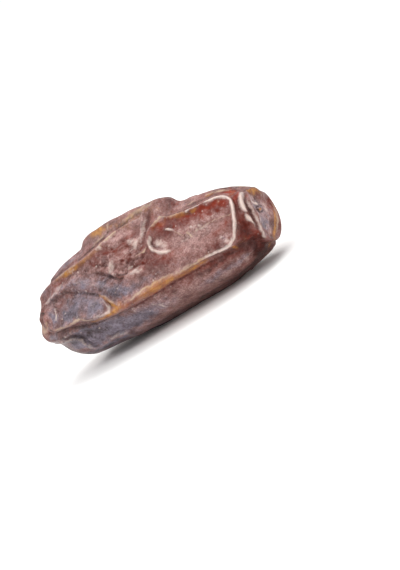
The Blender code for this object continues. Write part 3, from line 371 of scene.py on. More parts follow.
# the skin's coloured marks where the photograph shows them, drawn as lines; each point is (pixels along the
# fruit's line, pixels down across it, strength, half width in millimetres)
LINES = {
    # pale lines: partly paler skin, partly painted highlight on the lit tops of beads, rims, crests and the
    # gleam
    "pale_and_highlight": [
        # the rim of the right facet: its right side with its two ends, then the curl at its left
        [(40, 11.6, 0, 0.16), (44, 11.3, 0.5, 0.2), (48, 11.7, 0.85, 0.22), (55, 11.8, 0.95, 0.24),
         (62, 12.3, 1, 0.24), (68, 12.3, 1, 0.25), (73.7, 11, 0.9, 0.25), (77.7, 8, 0.8, 0.27),
         (81, 4, 0.8, 0.28), (83.7, -0.7, 0.85, 0.29), (86.3, -5.3, 0.95, 0.3), (88.3, -10.7, 1, 0.31),
         (90.3, -16, 1, 0.32), (92.3, -22, 1, 0.3), (93.5, -27.3, 1, 0.28), (93, -31.3, 1, 0.26),
         (90.3, -34.7, 1, 0.26), (86.3, -37, 0.95, 0.24)],
        [(86.3, -37, 0.95, 0.24), (81.8, -38.3, 1, 0.24), (75, -38.7, 1, 0.26), (68.3, -39, 1, 0.24),
         (61.7, -39.1, 0.95, 0.22), (55, -39.4, 0.9, 0.2), (49, -39.6, 0.8, 0.2), (47.2, -39.6, 0, 0.16)],
        [(6.2, -33.5, 0, 0.16), (5, -32.3, 0.7, 0.2), (2.6, -29.4, 0.8, 0.2), (0.8, -25.8, 0.9, 0.22),
         (0.5, -22.9, 1, 0.24), (2, -19.4, 1, 0.25), (4.6, -16, 1, 0.32), (8.5, -13.8, 1, 0.36),
         (12.5, -12, 0.9, 0.34), (16.5, -10.7, 0.4, 0.26), (18.5, -10.3, 0, 0.2)],
        # the bead in the facet, and the stripe beside the fold
        [(21.2, -32.4, 0, 0.12), (22.6, -32, 0.8, 0.15), (25.7, -30.7, 1, 0.18), (28.3, -28.7, 0.9, 0.18),
         (29.7, -26, 0.35, 0.15), (31, -23.3, 0, 0.13)],
        [(12, -54, 0, 0.2), (8.4, -49.6, 0.3, 0.24), (4.6, -45.4, 0.4, 0.26), (1.6, -41.6, 0.45, 0.28),
         (-1.5, -37.4, 0.45, 0.28), (-4.5, -33.4, 0.4, 0.26), (-7, -30, 0, 0.24)],
        # the gleam beside the right end: above and below the thin line that crosses it
        [(109.5, -31, 0.1, 0.3), (107, -30.2, 0.6, 0.36), (104.6, -27, 1, 0.44), (103, -22, 1, 0.48),
         (102.6, -17, 1, 0.44), (103.2, -12.2, 0.8, 0.28), (104, -10.4, 0, 0.2)],
        [(100.6, -10.5, 0, 0.2), (100.8, -8.5, 0.6, 0.26), (101.6, -6, 0.9, 0.32), (102.6, -3, 1, 0.32),
         (103.8, 0.8, 0.95, 0.26), (104, 3.5, 0.4, 0.2), (103.4, 7, 0.1, 0.2)],
        # the edge of the end's face
        [(108.2, -21.5, 0, 0.2), (108.3, -18, 0.45, 0.22), (108.8, -10, 0.5, 0.22), (108.8, -3, 0.5, 0.22),
         (108.3, 4, 0.6, 0.2), (108, 11, 0.75, 0.2), (107.8, 18, 0.7, 0.22), (108.8, 22, 0.3, 0.2)],
        # round the lens-shaped facet's lower corner
        [(-84, 14, 0, 0.2), (-80.2, 14.6, 0.3, 0.2), (-75.2, 15.9, 0.45, 0.2), (-70.5, 16.5, 0.6, 0.22),
         (-66.8, 16.4, 0.9, 0.26), (-64.2, 14, 0.9, 0.26), (-63.1, 10.5, 0.6, 0.2),
         (-64.7, 6.8, 0.35, 0.18), (-66.3, 2.8, 0.3, 0.16), (-68, -0.6, 0, 0.14)],
        # the crest of the fold low on the left, the lip, and the streak at the left end
        [(-127, 21.3, 0, 0.2), (-121, 21.6, 0.25, 0.25), (-115.8, 22.8, 0.25, 0.2),
         (-110.2, 24.3, 0.25, 0.2), (-106.3, 26.6, 0.35, 0.18), (-103.2, 30, 0.4, 0.17),
         (-101, 34.4, 0.4, 0.22), (-98, 38.6, 0.35, 0.22), (-94.3, 42, 0.3, 0.2), (-90, 43.5, 0, 0.2)],
        [(-80, 42, 0, 0.2), (-76, 41.3, 0.3, 0.2), (-71, 40.6, 0.4, 0.2), (-66, 40.9, 0.4, 0.2),
         (-60.2, 43.2, 0.35, 0.2), (-55.5, 46.5, 0, 0.2)],
        [(-112.2, -13, 0, 0.16), (-112.6, -10, 0.5, 0.2), (-113.5, -7, 0.8, 0.26), (-114.2, -4, 0.9, 0.28),
         (-115.6, -1.6, 0.8, 0.26), (-117, 0.6, 0, 0.2)],
        # short strokes on the lower flank
        [(-24.6, 28, 0, 0.12), (-23.4, 29.4, 0.5, 0.14), (-20.4, 30.2, 0.4, 0.13), (-18.6, 31, 0.3, 0.12)],
        [(-18.6, 31.2, 0, 0.12), (-17, 32.4, 0.8, 0.17), (-14.4, 35, 0.8, 0.17), (-12, 37.4, 0.7, 0.15),
         (-9.8, 39, 0, 0.12)],
        [(-16.6, 32, 0, 0.12), (-14.4, 33, 0.7, 0.15), (-11, 34, 0.5, 0.14), (-7, 35.4, 0.3, 0.12)],
        [(0, 34.6, 0, 0.11), (2.4, 36, 0.35, 0.12), (6, 38, 0.3, 0.12), (8, 39.4, 0, 0.11)],
        [(20.6, 32.4, 0, 0.12), (23, 33, 0.35, 0.14), (26, 34.6, 0.3, 0.13), (27, 36, 0, 0.12)],
        # the soft light band above the long crease
        [(-121, -19, 0, 0.3), (-117, -20.6, 0.4, 0.3), (-112.4, -22.8, 0.35, 0.34),
         (-106.9, -24.2, 0.3, 0.36), (-102.4, -26.1, 0.35, 0.36), (-97, -28.8, 0.3, 0.36),
         (-92, -30, 0, 0.3)],
    ],
    # tan lines: partly paler threads and edges of the skin, partly painted highlight on lit crest edges
    "tan_and_highlight": [
        # the upper edge of the long ridge
        [(-124, 7.2, 0.2, 0.16), (-120, 8.3, 0.6, 0.18), (-115.8, 8.9, 0.6, 0.2), (-111, 9.5, 0.5, 0.2),
         (-106.9, 9.8, 0.6, 0.2), (-102.4, 9.2, 0.7, 0.2), (-97, 8.6, 0.9, 0.22), (-94, 9.6, 0.5, 0.18),
         (-90.8, 12.2, 0.45, 0.2), (-87, 14.6, 0.5, 0.2), (-84, 15.2, 0.2, 0.18)],
        [(-49, 12.6, 0, 0.14), (-46, 13.8, 0.4, 0.14), (-40.3, 14.4, 0.5, 0.14), (-36, 14, 0.8, 0.15),
         (-32, 12.8, 1, 0.17), (-28, 11.7, 1, 0.17), (-23, 11, 1, 0.17), (-17, 11.3, 0.8, 0.15),
         (-11.5, 10.4, 0.9, 0.16), (-5, 10.1, 0.9, 0.16), (0, 10.2, 0.9, 0.15), (6, 10.4, 0.45, 0.12),
         (21.7, 9.7, 0.3, 0.12), (35, 9.6, 0.3, 0.12), (44, 9.2, 0, 0.12)],
        [(2, 12.5, 0, 0.14), (7, 12.2, 0.4, 0.16), (15, 12.6, 0.7, 0.18), (25, 12.2, 0.8, 0.2),
         (35, 11.6, 0.9, 0.2), (43, 11.3, 1, 0.2), (47, 11.6, 0.4, 0.18)],
        # beside the dark line along the upper left: below it, and above it further right
        [(-99, -36.8, 0, 0.2), (-96, -37.6, 0.5, 0.2), (-91, -38.6, 0.7, 0.2), (-84.7, -39.8, 0.6, 0.18),
         (-77, -41.2, 0.5, 0.16), (-71, -41.9, 0.35, 0.16), (-62.8, -42.9, 0.4, 0.16),
         (-57, -44.5, 0.4, 0.16), (-52, -46.4, 0.3, 0.18), (-45.9, -47.4, 0.3, 0.2), (-40, -49.5, 0.95, 0.26),
         (-34, -51.2, 0.95, 0.26), (-28, -52.4, 0.8, 0.24), (-24.4, -53.2, 0.95, 0.26),
         (-21.5, -53.6, 0, 0.2)],
        [(-52, -49.6, 0, 0.12), (-48, -50.6, 0.5, 0.14), (-42, -52.4, 0.6, 0.14), (-36, -54, 0.5, 0.14),
         (-33, -54.8, 0, 0.12)],
        [(-16, -57.6, 0, 0.14), (-10, -58.3, 0.7, 0.18), (-3, -59.6, 0.8, 0.18), (6, -61.3, 0.85, 0.18),
         (14, -62, 0.8, 0.18), (24, -62.8, 0.3, 0.16), (30, -63, 0, 0.14)],
        # the streak up the top-left flank, and the ridges at the facet's upper left
        [(-26.8, -63.5, 0, 0.2), (-27.6, -61.8, 0.6, 0.22), (-29.3, -59, 0.6, 0.2), (-30.3, -57, 0, 0.18)],
        [(3.9, -36.7, 0, 0.14), (5.5, -38, 0.6, 0.16), (8.5, -39.8, 0.8, 0.16), (13.5, -41.9, 0.8, 0.17),
         (19.7, -44.2, 0.8, 0.18), (22.8, -46.4, 0.7, 0.22)],
        [(23, -46, 0.6, 0.24), (26, -44.9, 0.6, 0.2), (29, -43.1, 0.6, 0.18), (33, -41.9, 0.7, 0.18),
         (38, -41.2, 0.9, 0.2), (43.4, -40.1, 0.9, 0.24), (46.4, -39.6, 0.7, 0.2), (47.6, -39.8, 0, 0.14)],
        # the crest of the band above the facet
        [(51, -43.6, 0, 0.14), (54.5, -43.4, 0.6, 0.15), (60, -44.2, 0.7, 0.16), (64, -44.4, 0.2, 0.14)],
        [(71, -44, 0, 0.16), (74, -44, 0.6, 0.22), (79, -43.3, 0.7, 0.24), (82, -42.8, 0.4, 0.2),
         (86, -42.2, 0.9, 0.22), (89, -41.3, 0.7, 0.22), (94, -39.4, 0.5, 0.22), (99, -37.4, 0.3, 0.24),
         (104, -35.5, 0, 0.2)],
        # the pale edge round the end
        [(129, -10, 0, 0.2), (129.4, -4, 0.4, 0.22), (129, 3, 0.6, 0.24), (127, 9.6, 0.7, 0.24),
         (124, 15, 0.7, 0.22), (121.6, 18.6, 0.5, 0.2), (118, 23, 0.2, 0.2)],
        # the left tip and the spur
        [(-131, -3, 0.1, 0.3), (-131.6, 1, 0.6, 0.4), (-132, 5, 0.6, 0.4), (-131, 9, 0.2, 0.3)],
        [(-126.4, -5.5, 0, 0.14), (-126.8, -2, 0.6, 0.17), (-127.2, 3, 0.5, 0.18)],
        [(-64.8, -2.8, 0.3, 0.14), (-63, -0.2, 0.9, 0.17), (-61.3, 3, 0.9, 0.18), (-59.8, 7, 0.9, 0.18),
         (-58.4, 10, 0.6, 0.18), (-56, 13, 0, 0.16)],
        # a thread from the bead, a streak across the facet, and threads in the middle
        [(29.5, -26.5, 0.3, 0.1), (31, -23.3, 0.6, 0.11), (34.3, -19.3, 0.45, 0.11), (37.7, -16, 0.1, 0.1)],
        [(39.6, -21, 0, 0.13), (40.5, -19, 0.9, 0.17), (41.7, -16, 0.9, 0.17), (43, -13, 0.8, 0.14),
         (43.8, -11.4, 0, 0.12)],
        [(43.5, -16.2, 0.2, 0.12), (47, -16.8, 0.6, 0.14), (52, -16.8, 0.6, 0.13),
         (58.3, -17.4, 0.65, 0.12), (66.3, -18.1, 0.55, 0.12), (75, -17.8, 0.55, 0.12),
         (81.7, -16.9, 0.4, 0.12), (87, -16.2, 0.5, 0.14)],
        [(-17, -21.6, 0, 0.12), (-15.6, -21.5, 0.6, 0.15), (-11.5, -22, 0.7, 0.15),
         (-7.6, -21.8, 0.8, 0.16), (-5.2, -23.4, 0.8, 0.15), (-3.2, -24, 0.3, 0.13)],
    ],
    "amber": [
        # the long ridge and the spur
        [(-88, 17.6, 0, 0.3), (-84, 17.6, 0.35, 0.4), (-78, 18.6, 0.7, 0.38), (-70, 19, 0.85, 0.42),
         (-62, 18.2, 0.85, 0.5), (-56, 17.2, 0.85, 0.55), (-50, 17.6, 0.6, 0.5), (-45, 18.2, 0.35, 0.5),
         (-38, 17.8, 0.3, 0.5), (-32, 17.4, 0.5, 0.6), (-26, 17.8, 0.85, 0.75), (-18, 17, 0.9, 0.8),
         (-10, 15.8, 1, 0.8), (-2, 15.6, 1, 0.75), (3, 15.8, 0.75, 0.66), (12, 16, 0.75, 0.62),
         (24, 15.6, 0.75, 0.58), (36, 14.8, 0.8, 0.5), (45, 14.4, 0.45, 0.4), (49, 14, 0, 0.3)],
        [(-66.5, -4, 0.3, 0.2), (-65, -1, 0.75, 0.26), (-62.6, 4, 0.8, 0.34), (-60, 9.5, 0.8, 0.4),
         (-57, 14, 0.85, 0.46), (-53, 16.5, 0.85, 0.5)],
        # the crest along the upper left, and the high edge behind it
        [(-104, -34.6, 0, 0.3), (-98, -36, 0.2, 0.3), (-92, -36.6, 0.4, 0.34), (-87.5, -37.2, 0.85, 0.34),
         (-83, -38, 0.75, 0.34), (-79.5, -38.6, 0.75, 0.34), (-76.3, -39, 0.6, 0.32),
         (-73, -40.4, 0.5, 0.34), (-66, -41.6, 0.5, 0.36), (-58, -43, 0.45, 0.36), (-50, -44.6, 0.3, 0.4),
         (-43, -46.5, 0.2, 0.36), (-38, -48, 0, 0.3)],
        [(-50, -58.5, 0, 0.3), (-47, -59.6, 0.7, 0.5), (-42, -60.3, 1, 0.5), (-36, -60.2, 1, 0.5),
         (-31.5, -60.2, 0.6, 0.4), (-29, -61, 0, 0.3)],
        [(-24.6, -53.4, 0, 0.3), (-21, -53.6, 0.35, 0.34), (-15.4, -53.5, 0.4, 0.34), (-9, -53.6, 0.35, 0.3),
         (-4, -54, 0, 0.3)],
        # spots at the facet's upper edge
        [(7.5, -36, 0, 0.2), (10.3, -37.6, 0.5, 0.26), (14, -39.6, 0.4, 0.22), (20, -41.6, 0.25, 0.18),
         (30, -40.6, 0.35, 0.2), (36, -39.6, 0.7, 0.26), (40, -39.4, 1, 0.34), (44, -38.2, 1, 0.36),
         (47, -37.4, 0.5, 0.26), (50, -37, 0.3, 0.24)],
        [(51, -36.6, 0, 0.2), (54, -36.4, 0.8, 0.28), (58, -36.2, 0.8, 0.26), (60.5, -36.6, 0, 0.2)],
        # below the facet's right corner, above the facet, and round the end's face
        [(72.5, 13.8, 0, 0.26), (75, 14.4, 0.8, 0.32), (77.4, 16.4, 0.7, 0.34), (79, 18.4, 0.2, 0.3)],
        [(71, -42.9, 0, 0.2), (74, -43, 0.7, 0.26), (80, -42.2, 0.7, 0.24), (83, -41.6, 0, 0.2)],
        [(111.5, -29, 0.1, 0.3), (114, -28.6, 0.9, 0.42), (117.5, -27, 1, 0.46), (120.5, -25, 0.8, 0.4),
         (123, -22.5, 0.3, 0.3), (125, -20, 0.1, 0.26)],
        [(127.6, -3, 0, 0.3), (127.4, 1, 0.5, 0.34), (126, 6, 0.9, 0.4), (124, 11, 1, 0.42),
         (121.6, 15.6, 1, 0.42), (119, 19, 0.9, 0.4), (115.6, 23.6, 0.7, 0.4), (112, 27, 0.3, 0.3)],
        # the dot on the end's face
        [(115.6, -7.7, 1, 0.22), (116.7, -7.3, 1, 0.22)],
    ],
    # dark lines: painted shade in creases and grooves, behind crests and under the long ridge
    "dark": [
        # the creases at the left and in the middle
        [(-111.5, -18.2, 0.2, 0.3), (-104, -18.6, 0.3, 0.4), (-98, -20, 0.4, 0.44),
         (-93.6, -20.4, 0.5, 0.5), (-89.1, -16.4, 0.35, 0.4), (-84.7, -14.2, 0.35, 0.34),
         (-80.2, -12, 0.4, 0.32), (-76.3, -9.4, 0.5, 0.3), (-71.9, -6.7, 0.6, 0.28), (-68, -4.4, 0.5, 0.24),
         (-65.6, -2.6, 0.3, 0.2)],
        [(-64.5, -27, 0, 0.16), (-62, -25.2, 0.4, 0.22), (-59.7, -23.8, 0.45, 0.24),
         (-55, -21.3, 0.4, 0.26), (-51.5, -18.2, 0.4, 0.32), (-48, -14.6, 0.5, 0.4),
         (-44.4, -11, 0.45, 0.36), (-41.3, -8.1, 0.4, 0.3), (-39, -6.3, 0.2, 0.22)],
        [(-45, -13.2, 0, 0.14), (-41, -12, 0.45, 0.18), (-36, -10.6, 0.6, 0.2), (-31.8, -10, 0.55, 0.18),
         (-30, -12, 0.3, 0.14), (-29.4, -14, 0, 0.14)],
        [(-73.5, -31.5, 0, 0.18), (-70, -28, 0.5, 0.22), (-66, -26.5, 0.4, 0.22), (-64, -26, 0.2, 0.18)],
        [(-56, -30.6, 0, 0.2), (-52.5, -29.4, 0.5, 0.24), (-49, -27.5, 0.4, 0.24), (-46, -26.6, 0.5, 0.24),
         (-44.8, -28.5, 0.1, 0.2)],
        # behind the crest along the upper left
        [(-76, -43.4, 0, 0.25), (-70, -44.2, 0.5, 0.25), (-65, -44.8, 0.7, 0.2), (-57.4, -46.9, 0.95, 0.22),
         (-50.3, -48.7, 0.95, 0.22), (-42.6, -51, 0.95, 0.22), (-36.8, -52.8, 0.95, 0.22),
         (-32, -53.8, 0.6, 0.18)],
        [(-33.5, -56.2, 0, 0.2), (-30.5, -56.2, 0.7, 0.2), (-27.5, -56, 0.7, 0.2), (-24, -56, 0.5, 0.18),
         (-19.7, -55.5, 0.95, 0.26), (-15, -55.3, 1, 0.28), (-10.3, -56, 1, 0.28), (-6.2, -57.2, 1, 0.26),
         (0, -58.7, 1, 0.26), (5.6, -59.8, 0.85, 0.2), (11.5, -60.7, 0.8, 0.2), (17.4, -61.5, 0.7, 0.22),
         (22, -62, 0, 0.2)],
        # below the long ridge
        [(-123.4, 10, 0.3, 0.2), (-121, 10.8, 0.5, 0.3), (-115, 11.4, 0.5, 0.34), (-108, 12.2, 0.5, 0.4),
         (-102, 14.2, 0.7, 0.34), (-95.8, 16.2, 0.8, 0.26), (-90.2, 17.9, 0.8, 0.22),
         (-85.8, 20, 0.85, 0.2), (-82.4, 21.1, 0.9, 0.2), (-74, 21.5, 0.9, 0.2), (-65, 22, 0.9, 0.2),
         (-55, 22.3, 0.9, 0.2), (-47.5, 22.4, 0.85, 0.2), (-38, 22.8, 0.8, 0.2), (-29.5, 22.6, 0.85, 0.2),
         (-19.6, 21.4, 0.9, 0.22), (-8.8, 20.6, 0.9, 0.22), (0.2, 20, 0.8, 0.22), (11, 19.2, 0.8, 0.26),
         (25, 18.4, 0.75, 0.28), (45, 17.9, 0.7, 0.28), (60, 18.4, 0.75, 0.3), (74, 19.4, 0.75, 0.3),
         (79, 20.4, 0.4, 0.3)],
        # the groove low on the left, under the lip, and the line beside the streak
        [(-122, 18.9, 0.3, 0.22), (-115.8, 20.2, 0.7, 0.28), (-109.1, 22.2, 0.8, 0.34),
         (-104.7, 24.6, 0.6, 0.3), (-101.6, 28, 0.6, 0.28), (-99.3, 32.2, 0.6, 0.22),
         (-97.2, 35.6, 0.6, 0.22), (-94.4, 39, 0.6, 0.22), (-91, 41, 0.6, 0.2), (-86, 41.6, 0.2, 0.2)],
        [(-111.5, 13.5, 0.6, 0.16), (-111.6, 17, 0.6, 0.16), (-110.5, 20, 0.3, 0.16)],
        [(-76, 43.6, 0, 0.14), (-71, 42.9, 0.5, 0.16), (-65, 43.4, 0.5, 0.16), (-60, 46, 0.3, 0.16),
         (-57, 49, 0, 0.14)],
        [(-110.8, -17, 0.4, 0.15), (-110.9, -12, 0.6, 0.14), (-111, -7, 0.55, 0.15), (-112, -3, 0.45, 0.15),
         (-113, 0.5, 0, 0.14)],
        [(-116, 24.8, 0, 0.14), (-113.6, 26.4, 0.5, 0.17), (-110.8, 28.8, 0.4, 0.16), (-108, 31, 0, 0.14)],
        # in the fold between the middle and the facet
        [(17, -57, 0.3, 0.2), (15.4, -54.6, 0.5, 0.24), (12, -48.6, 0.6, 0.26), (8.2, -43.6, 0.6, 0.26),
         (4.2, -39, 0.6, 0.24), (0.8, -34, 0.5, 0.22), (-2, -29.6, 0.2, 0.2)],
        # the notch and the lines at the left end
        [(-127, -13.8, 0.7, 0.18), (-124, -12.3, 0.8, 0.2)],
        [(-125.4, -3, 0, 0.14), (-126, 1.5, 0.5, 0.15), (-125.8, 6, 0.7, 0.2), (-124, 9, 0.4, 0.2)],
        # beside the end's face, inside the curl, and round the lower lobe's end
        [(106.6, -25, 0, 0.13), (105.8, -22, 0.5, 0.14), (106.1, -17, 0.6, 0.14), (106.2, -7, 0.6, 0.15),
         (105.8, -0.5, 0.6, 0.15), (105.3, 5.5, 0.6, 0.15), (104.7, 11, 0.5, 0.2), (103.5, 15, 0.2, 0.2)],
        [(5.4, -28.5, 0, 0.16), (3.8, -26, 0.45, 0.2), (3.4, -23.4, 0.5, 0.2), (4.8, -20, 0.4, 0.2),
         (7, -17.6, 0.1, 0.16)],
        [(81, 20, 0.2, 0.4), (87, 20.6, 0.6, 0.5), (92, 23, 0.9, 0.7), (95, 27, 1, 0.9), (95, 32, 1, 0.9),
         (90, 36, 0.9, 0.8), (82, 38.5, 0.7, 0.7), (70, 41, 0.5, 0.6), (58, 44, 0.3, 0.5)],
        [(98.6, -13.4, 0, 0.1), (100.5, -12.2, 0.55, 0.12), (103, -10.2, 0.6, 0.12), (104.8, -9, 0, 0.1)],
        # just inside the facet's rim, and between its top and the band
        [(44, 10, 0, 0.12), (50, 9.8, 0.4, 0.14), (60, 10.2, 0.55, 0.16), (68, 10.2, 0.5, 0.15),
         (73, 8.8, 0.2, 0.14)],
        [(23.5, -44, 0, 0.14), (26, -43.8, 0.4, 0.16), (30, -43, 0.6, 0.17), (37.9, -42.3, 0.4, 0.14),
         (48, -42, 0.4, 0.13), (60, -41.8, 0.5, 0.14), (70, -41.4, 0.6, 0.16), (78, -40.7, 0.6, 0.16),
         (84, -39.8, 0.6, 0.17), (89, -38, 0.3, 0.16)],
        # round the dot on the end's face
        [(113.3, -10.2, 0.7, 0.26), (116, -10.8, 0.8, 0.2), (118.6, -9.6, 0.6, 0.2)],
        [(113, -8, 0.9, 0.3), (114, -5.4, 0.9, 0.28), (117.5, -4.6, 0.8, 0.2), (118.6, -7, 0.6, 0.16)],
        # the far edge above the facet
        [(46, -50.6, 0, 0.18), (49, -49.6, 0.5, 0.18), (52, -49.4, 0.2, 0.16)],
        [(62.5, -49.3, 0, 0.2), (72, -48.2, 0.4, 0.24), (82, -47.2, 0.6, 0.26), (90, -45, 0.7, 0.3),
         (98, -41.4, 0.7, 0.3), (106, -37.4, 0.6, 0.3), (112, -34.6, 0.5, 0.3), (118, -31.4, 0.4, 0.3)],
    ],
    "red": [
        # the deep band between the facet and the end
        [(84, -40, 0.5, 0.3), (90, -38.6, 0.8, 0.4), (96, -35.4, 1, 0.6), (98.4, -30, 1, 0.65),
         (97.8, -24, 1, 0.6), (97.2, -18, 1, 0.55), (96.6, -12, 1, 0.6), (95.4, -4, 1, 0.9),
         (94.5, 4, 1, 1.2), (95.5, 12, 1, 1), (97.5, 19, 0.9, 1), (100, 26, 0.8, 1)],
        # beside the fold
        [(17.5, -58.5, 0.5, 0.3), (15.8, -55.8, 0.9, 0.34), (12.2, -48.8, 1, 0.36), (8.2, -44, 1, 0.34),
         (3.9, -39.4, 1, 0.32), (0.3, -34.1, 1, 0.3), (-2.6, -29.4, 0.8, 0.28), (-3.6, -26, 0, 0.24)],
        # below the long ridge, and above the rim's top
        [(-12, 22, 0, 0.4), (-2, 22, 0.4, 0.5), (10, 21.4, 0.6, 0.6), (25, 21, 0.65, 0.7),
         (45, 20.6, 0.7, 0.7), (60, 21, 0.7, 0.7), (74, 21.6, 0.8, 0.7), (84, 23, 0.8, 0.7),
         (92, 27, 0.7, 0.8)],
        [(60, -43, 0, 0.2), (64, -44.6, 0.7, 0.3), (69, -44.4, 0.8, 0.3), (72, -43.4, 0.3, 0.2)],
        # round the outside of the curl, and along the lower edge of the long ridge
        [(-4.4, -27, 0.5, 0.4), (-3.6, -21, 0.8, 0.6), (-1, -15, 0.8, 0.6), (3.4, -11, 0.7, 0.7),
         (9, -8.6, 0.6, 0.8), (17, -7.4, 0.5, 0.8), (26, -6.6, 0.4, 0.7), (34, -6.4, 0, 0.6)],
        [(-52, 21.4, 0, 0.2), (-46, 22, 0.8, 0.36), (-38, 22.2, 1, 0.4), (-29, 22, 1, 0.44),
         (-19, 20.8, 1, 0.44), (-8, 20, 1, 0.46), (4, 19.4, 1, 0.46), (18, 18.8, 1, 0.46),
         (36, 18.2, 1, 0.46), (50, 18, 1, 0.46), (64, 18.2, 1, 0.46), (78, 19.4, 0.8, 0.46),
         (88, 22, 0.5, 0.4)],
        # winding hollows in the middle
        [(-46, -40, 0, 0.3), (-41, -38.5, 0.7, 0.34), (-36, -37, 0.9, 0.36), (-31.5, -35, 0.5, 0.3),
         (-27, -37.5, 0.8, 0.34), (-23.5, -37.8, 0.9, 0.34), (-19.8, -36, 0.9, 0.3),
         (-18.2, -33, 0.9, 0.28), (-19.4, -30, 0.4, 0.26)],
        [(-26, -43.6, 0, 0.28), (-20, -43, 0.6, 0.3), (-14, -41.8, 0.8, 0.3), (-8, -41.6, 0.6, 0.28),
         (-4, -43, 0.2, 0.24)],
        [(-18, -26.6, 0.1, 0.2), (-12, -25.6, 0.5, 0.24), (-7, -26, 0.6, 0.24), (-3.5, -27, 0.4, 0.22)],
        [(-18, -18.4, 0, 0.24), (-13, -18, 0.6, 0.28), (-8, -17.6, 0.7, 0.28), (-3, -19.5, 0.5, 0.26),
         (0, -21, 0.2, 0.24)],
        [(-16, -14, 0, 0.2), (-12.6, -12, 0.7, 0.26), (-9.6, -11, 0.9, 0.28), (-6, -11.4, 0.4, 0.26)],
        [(-33, -28, 0, 0.22), (-31, -24.6, 0.5, 0.34), (-29.6, -21, 0.45, 0.34), (-27, -19, 0.2, 0.3)],
        [(-29, -25.6, 0, 0.16), (-26, -25, 0.6, 0.18), (-23.6, -23, 0.6, 0.18), (-21, -24.6, 0.5, 0.18),
         (-18.6, -26, 0, 0.16)],
    ],
}

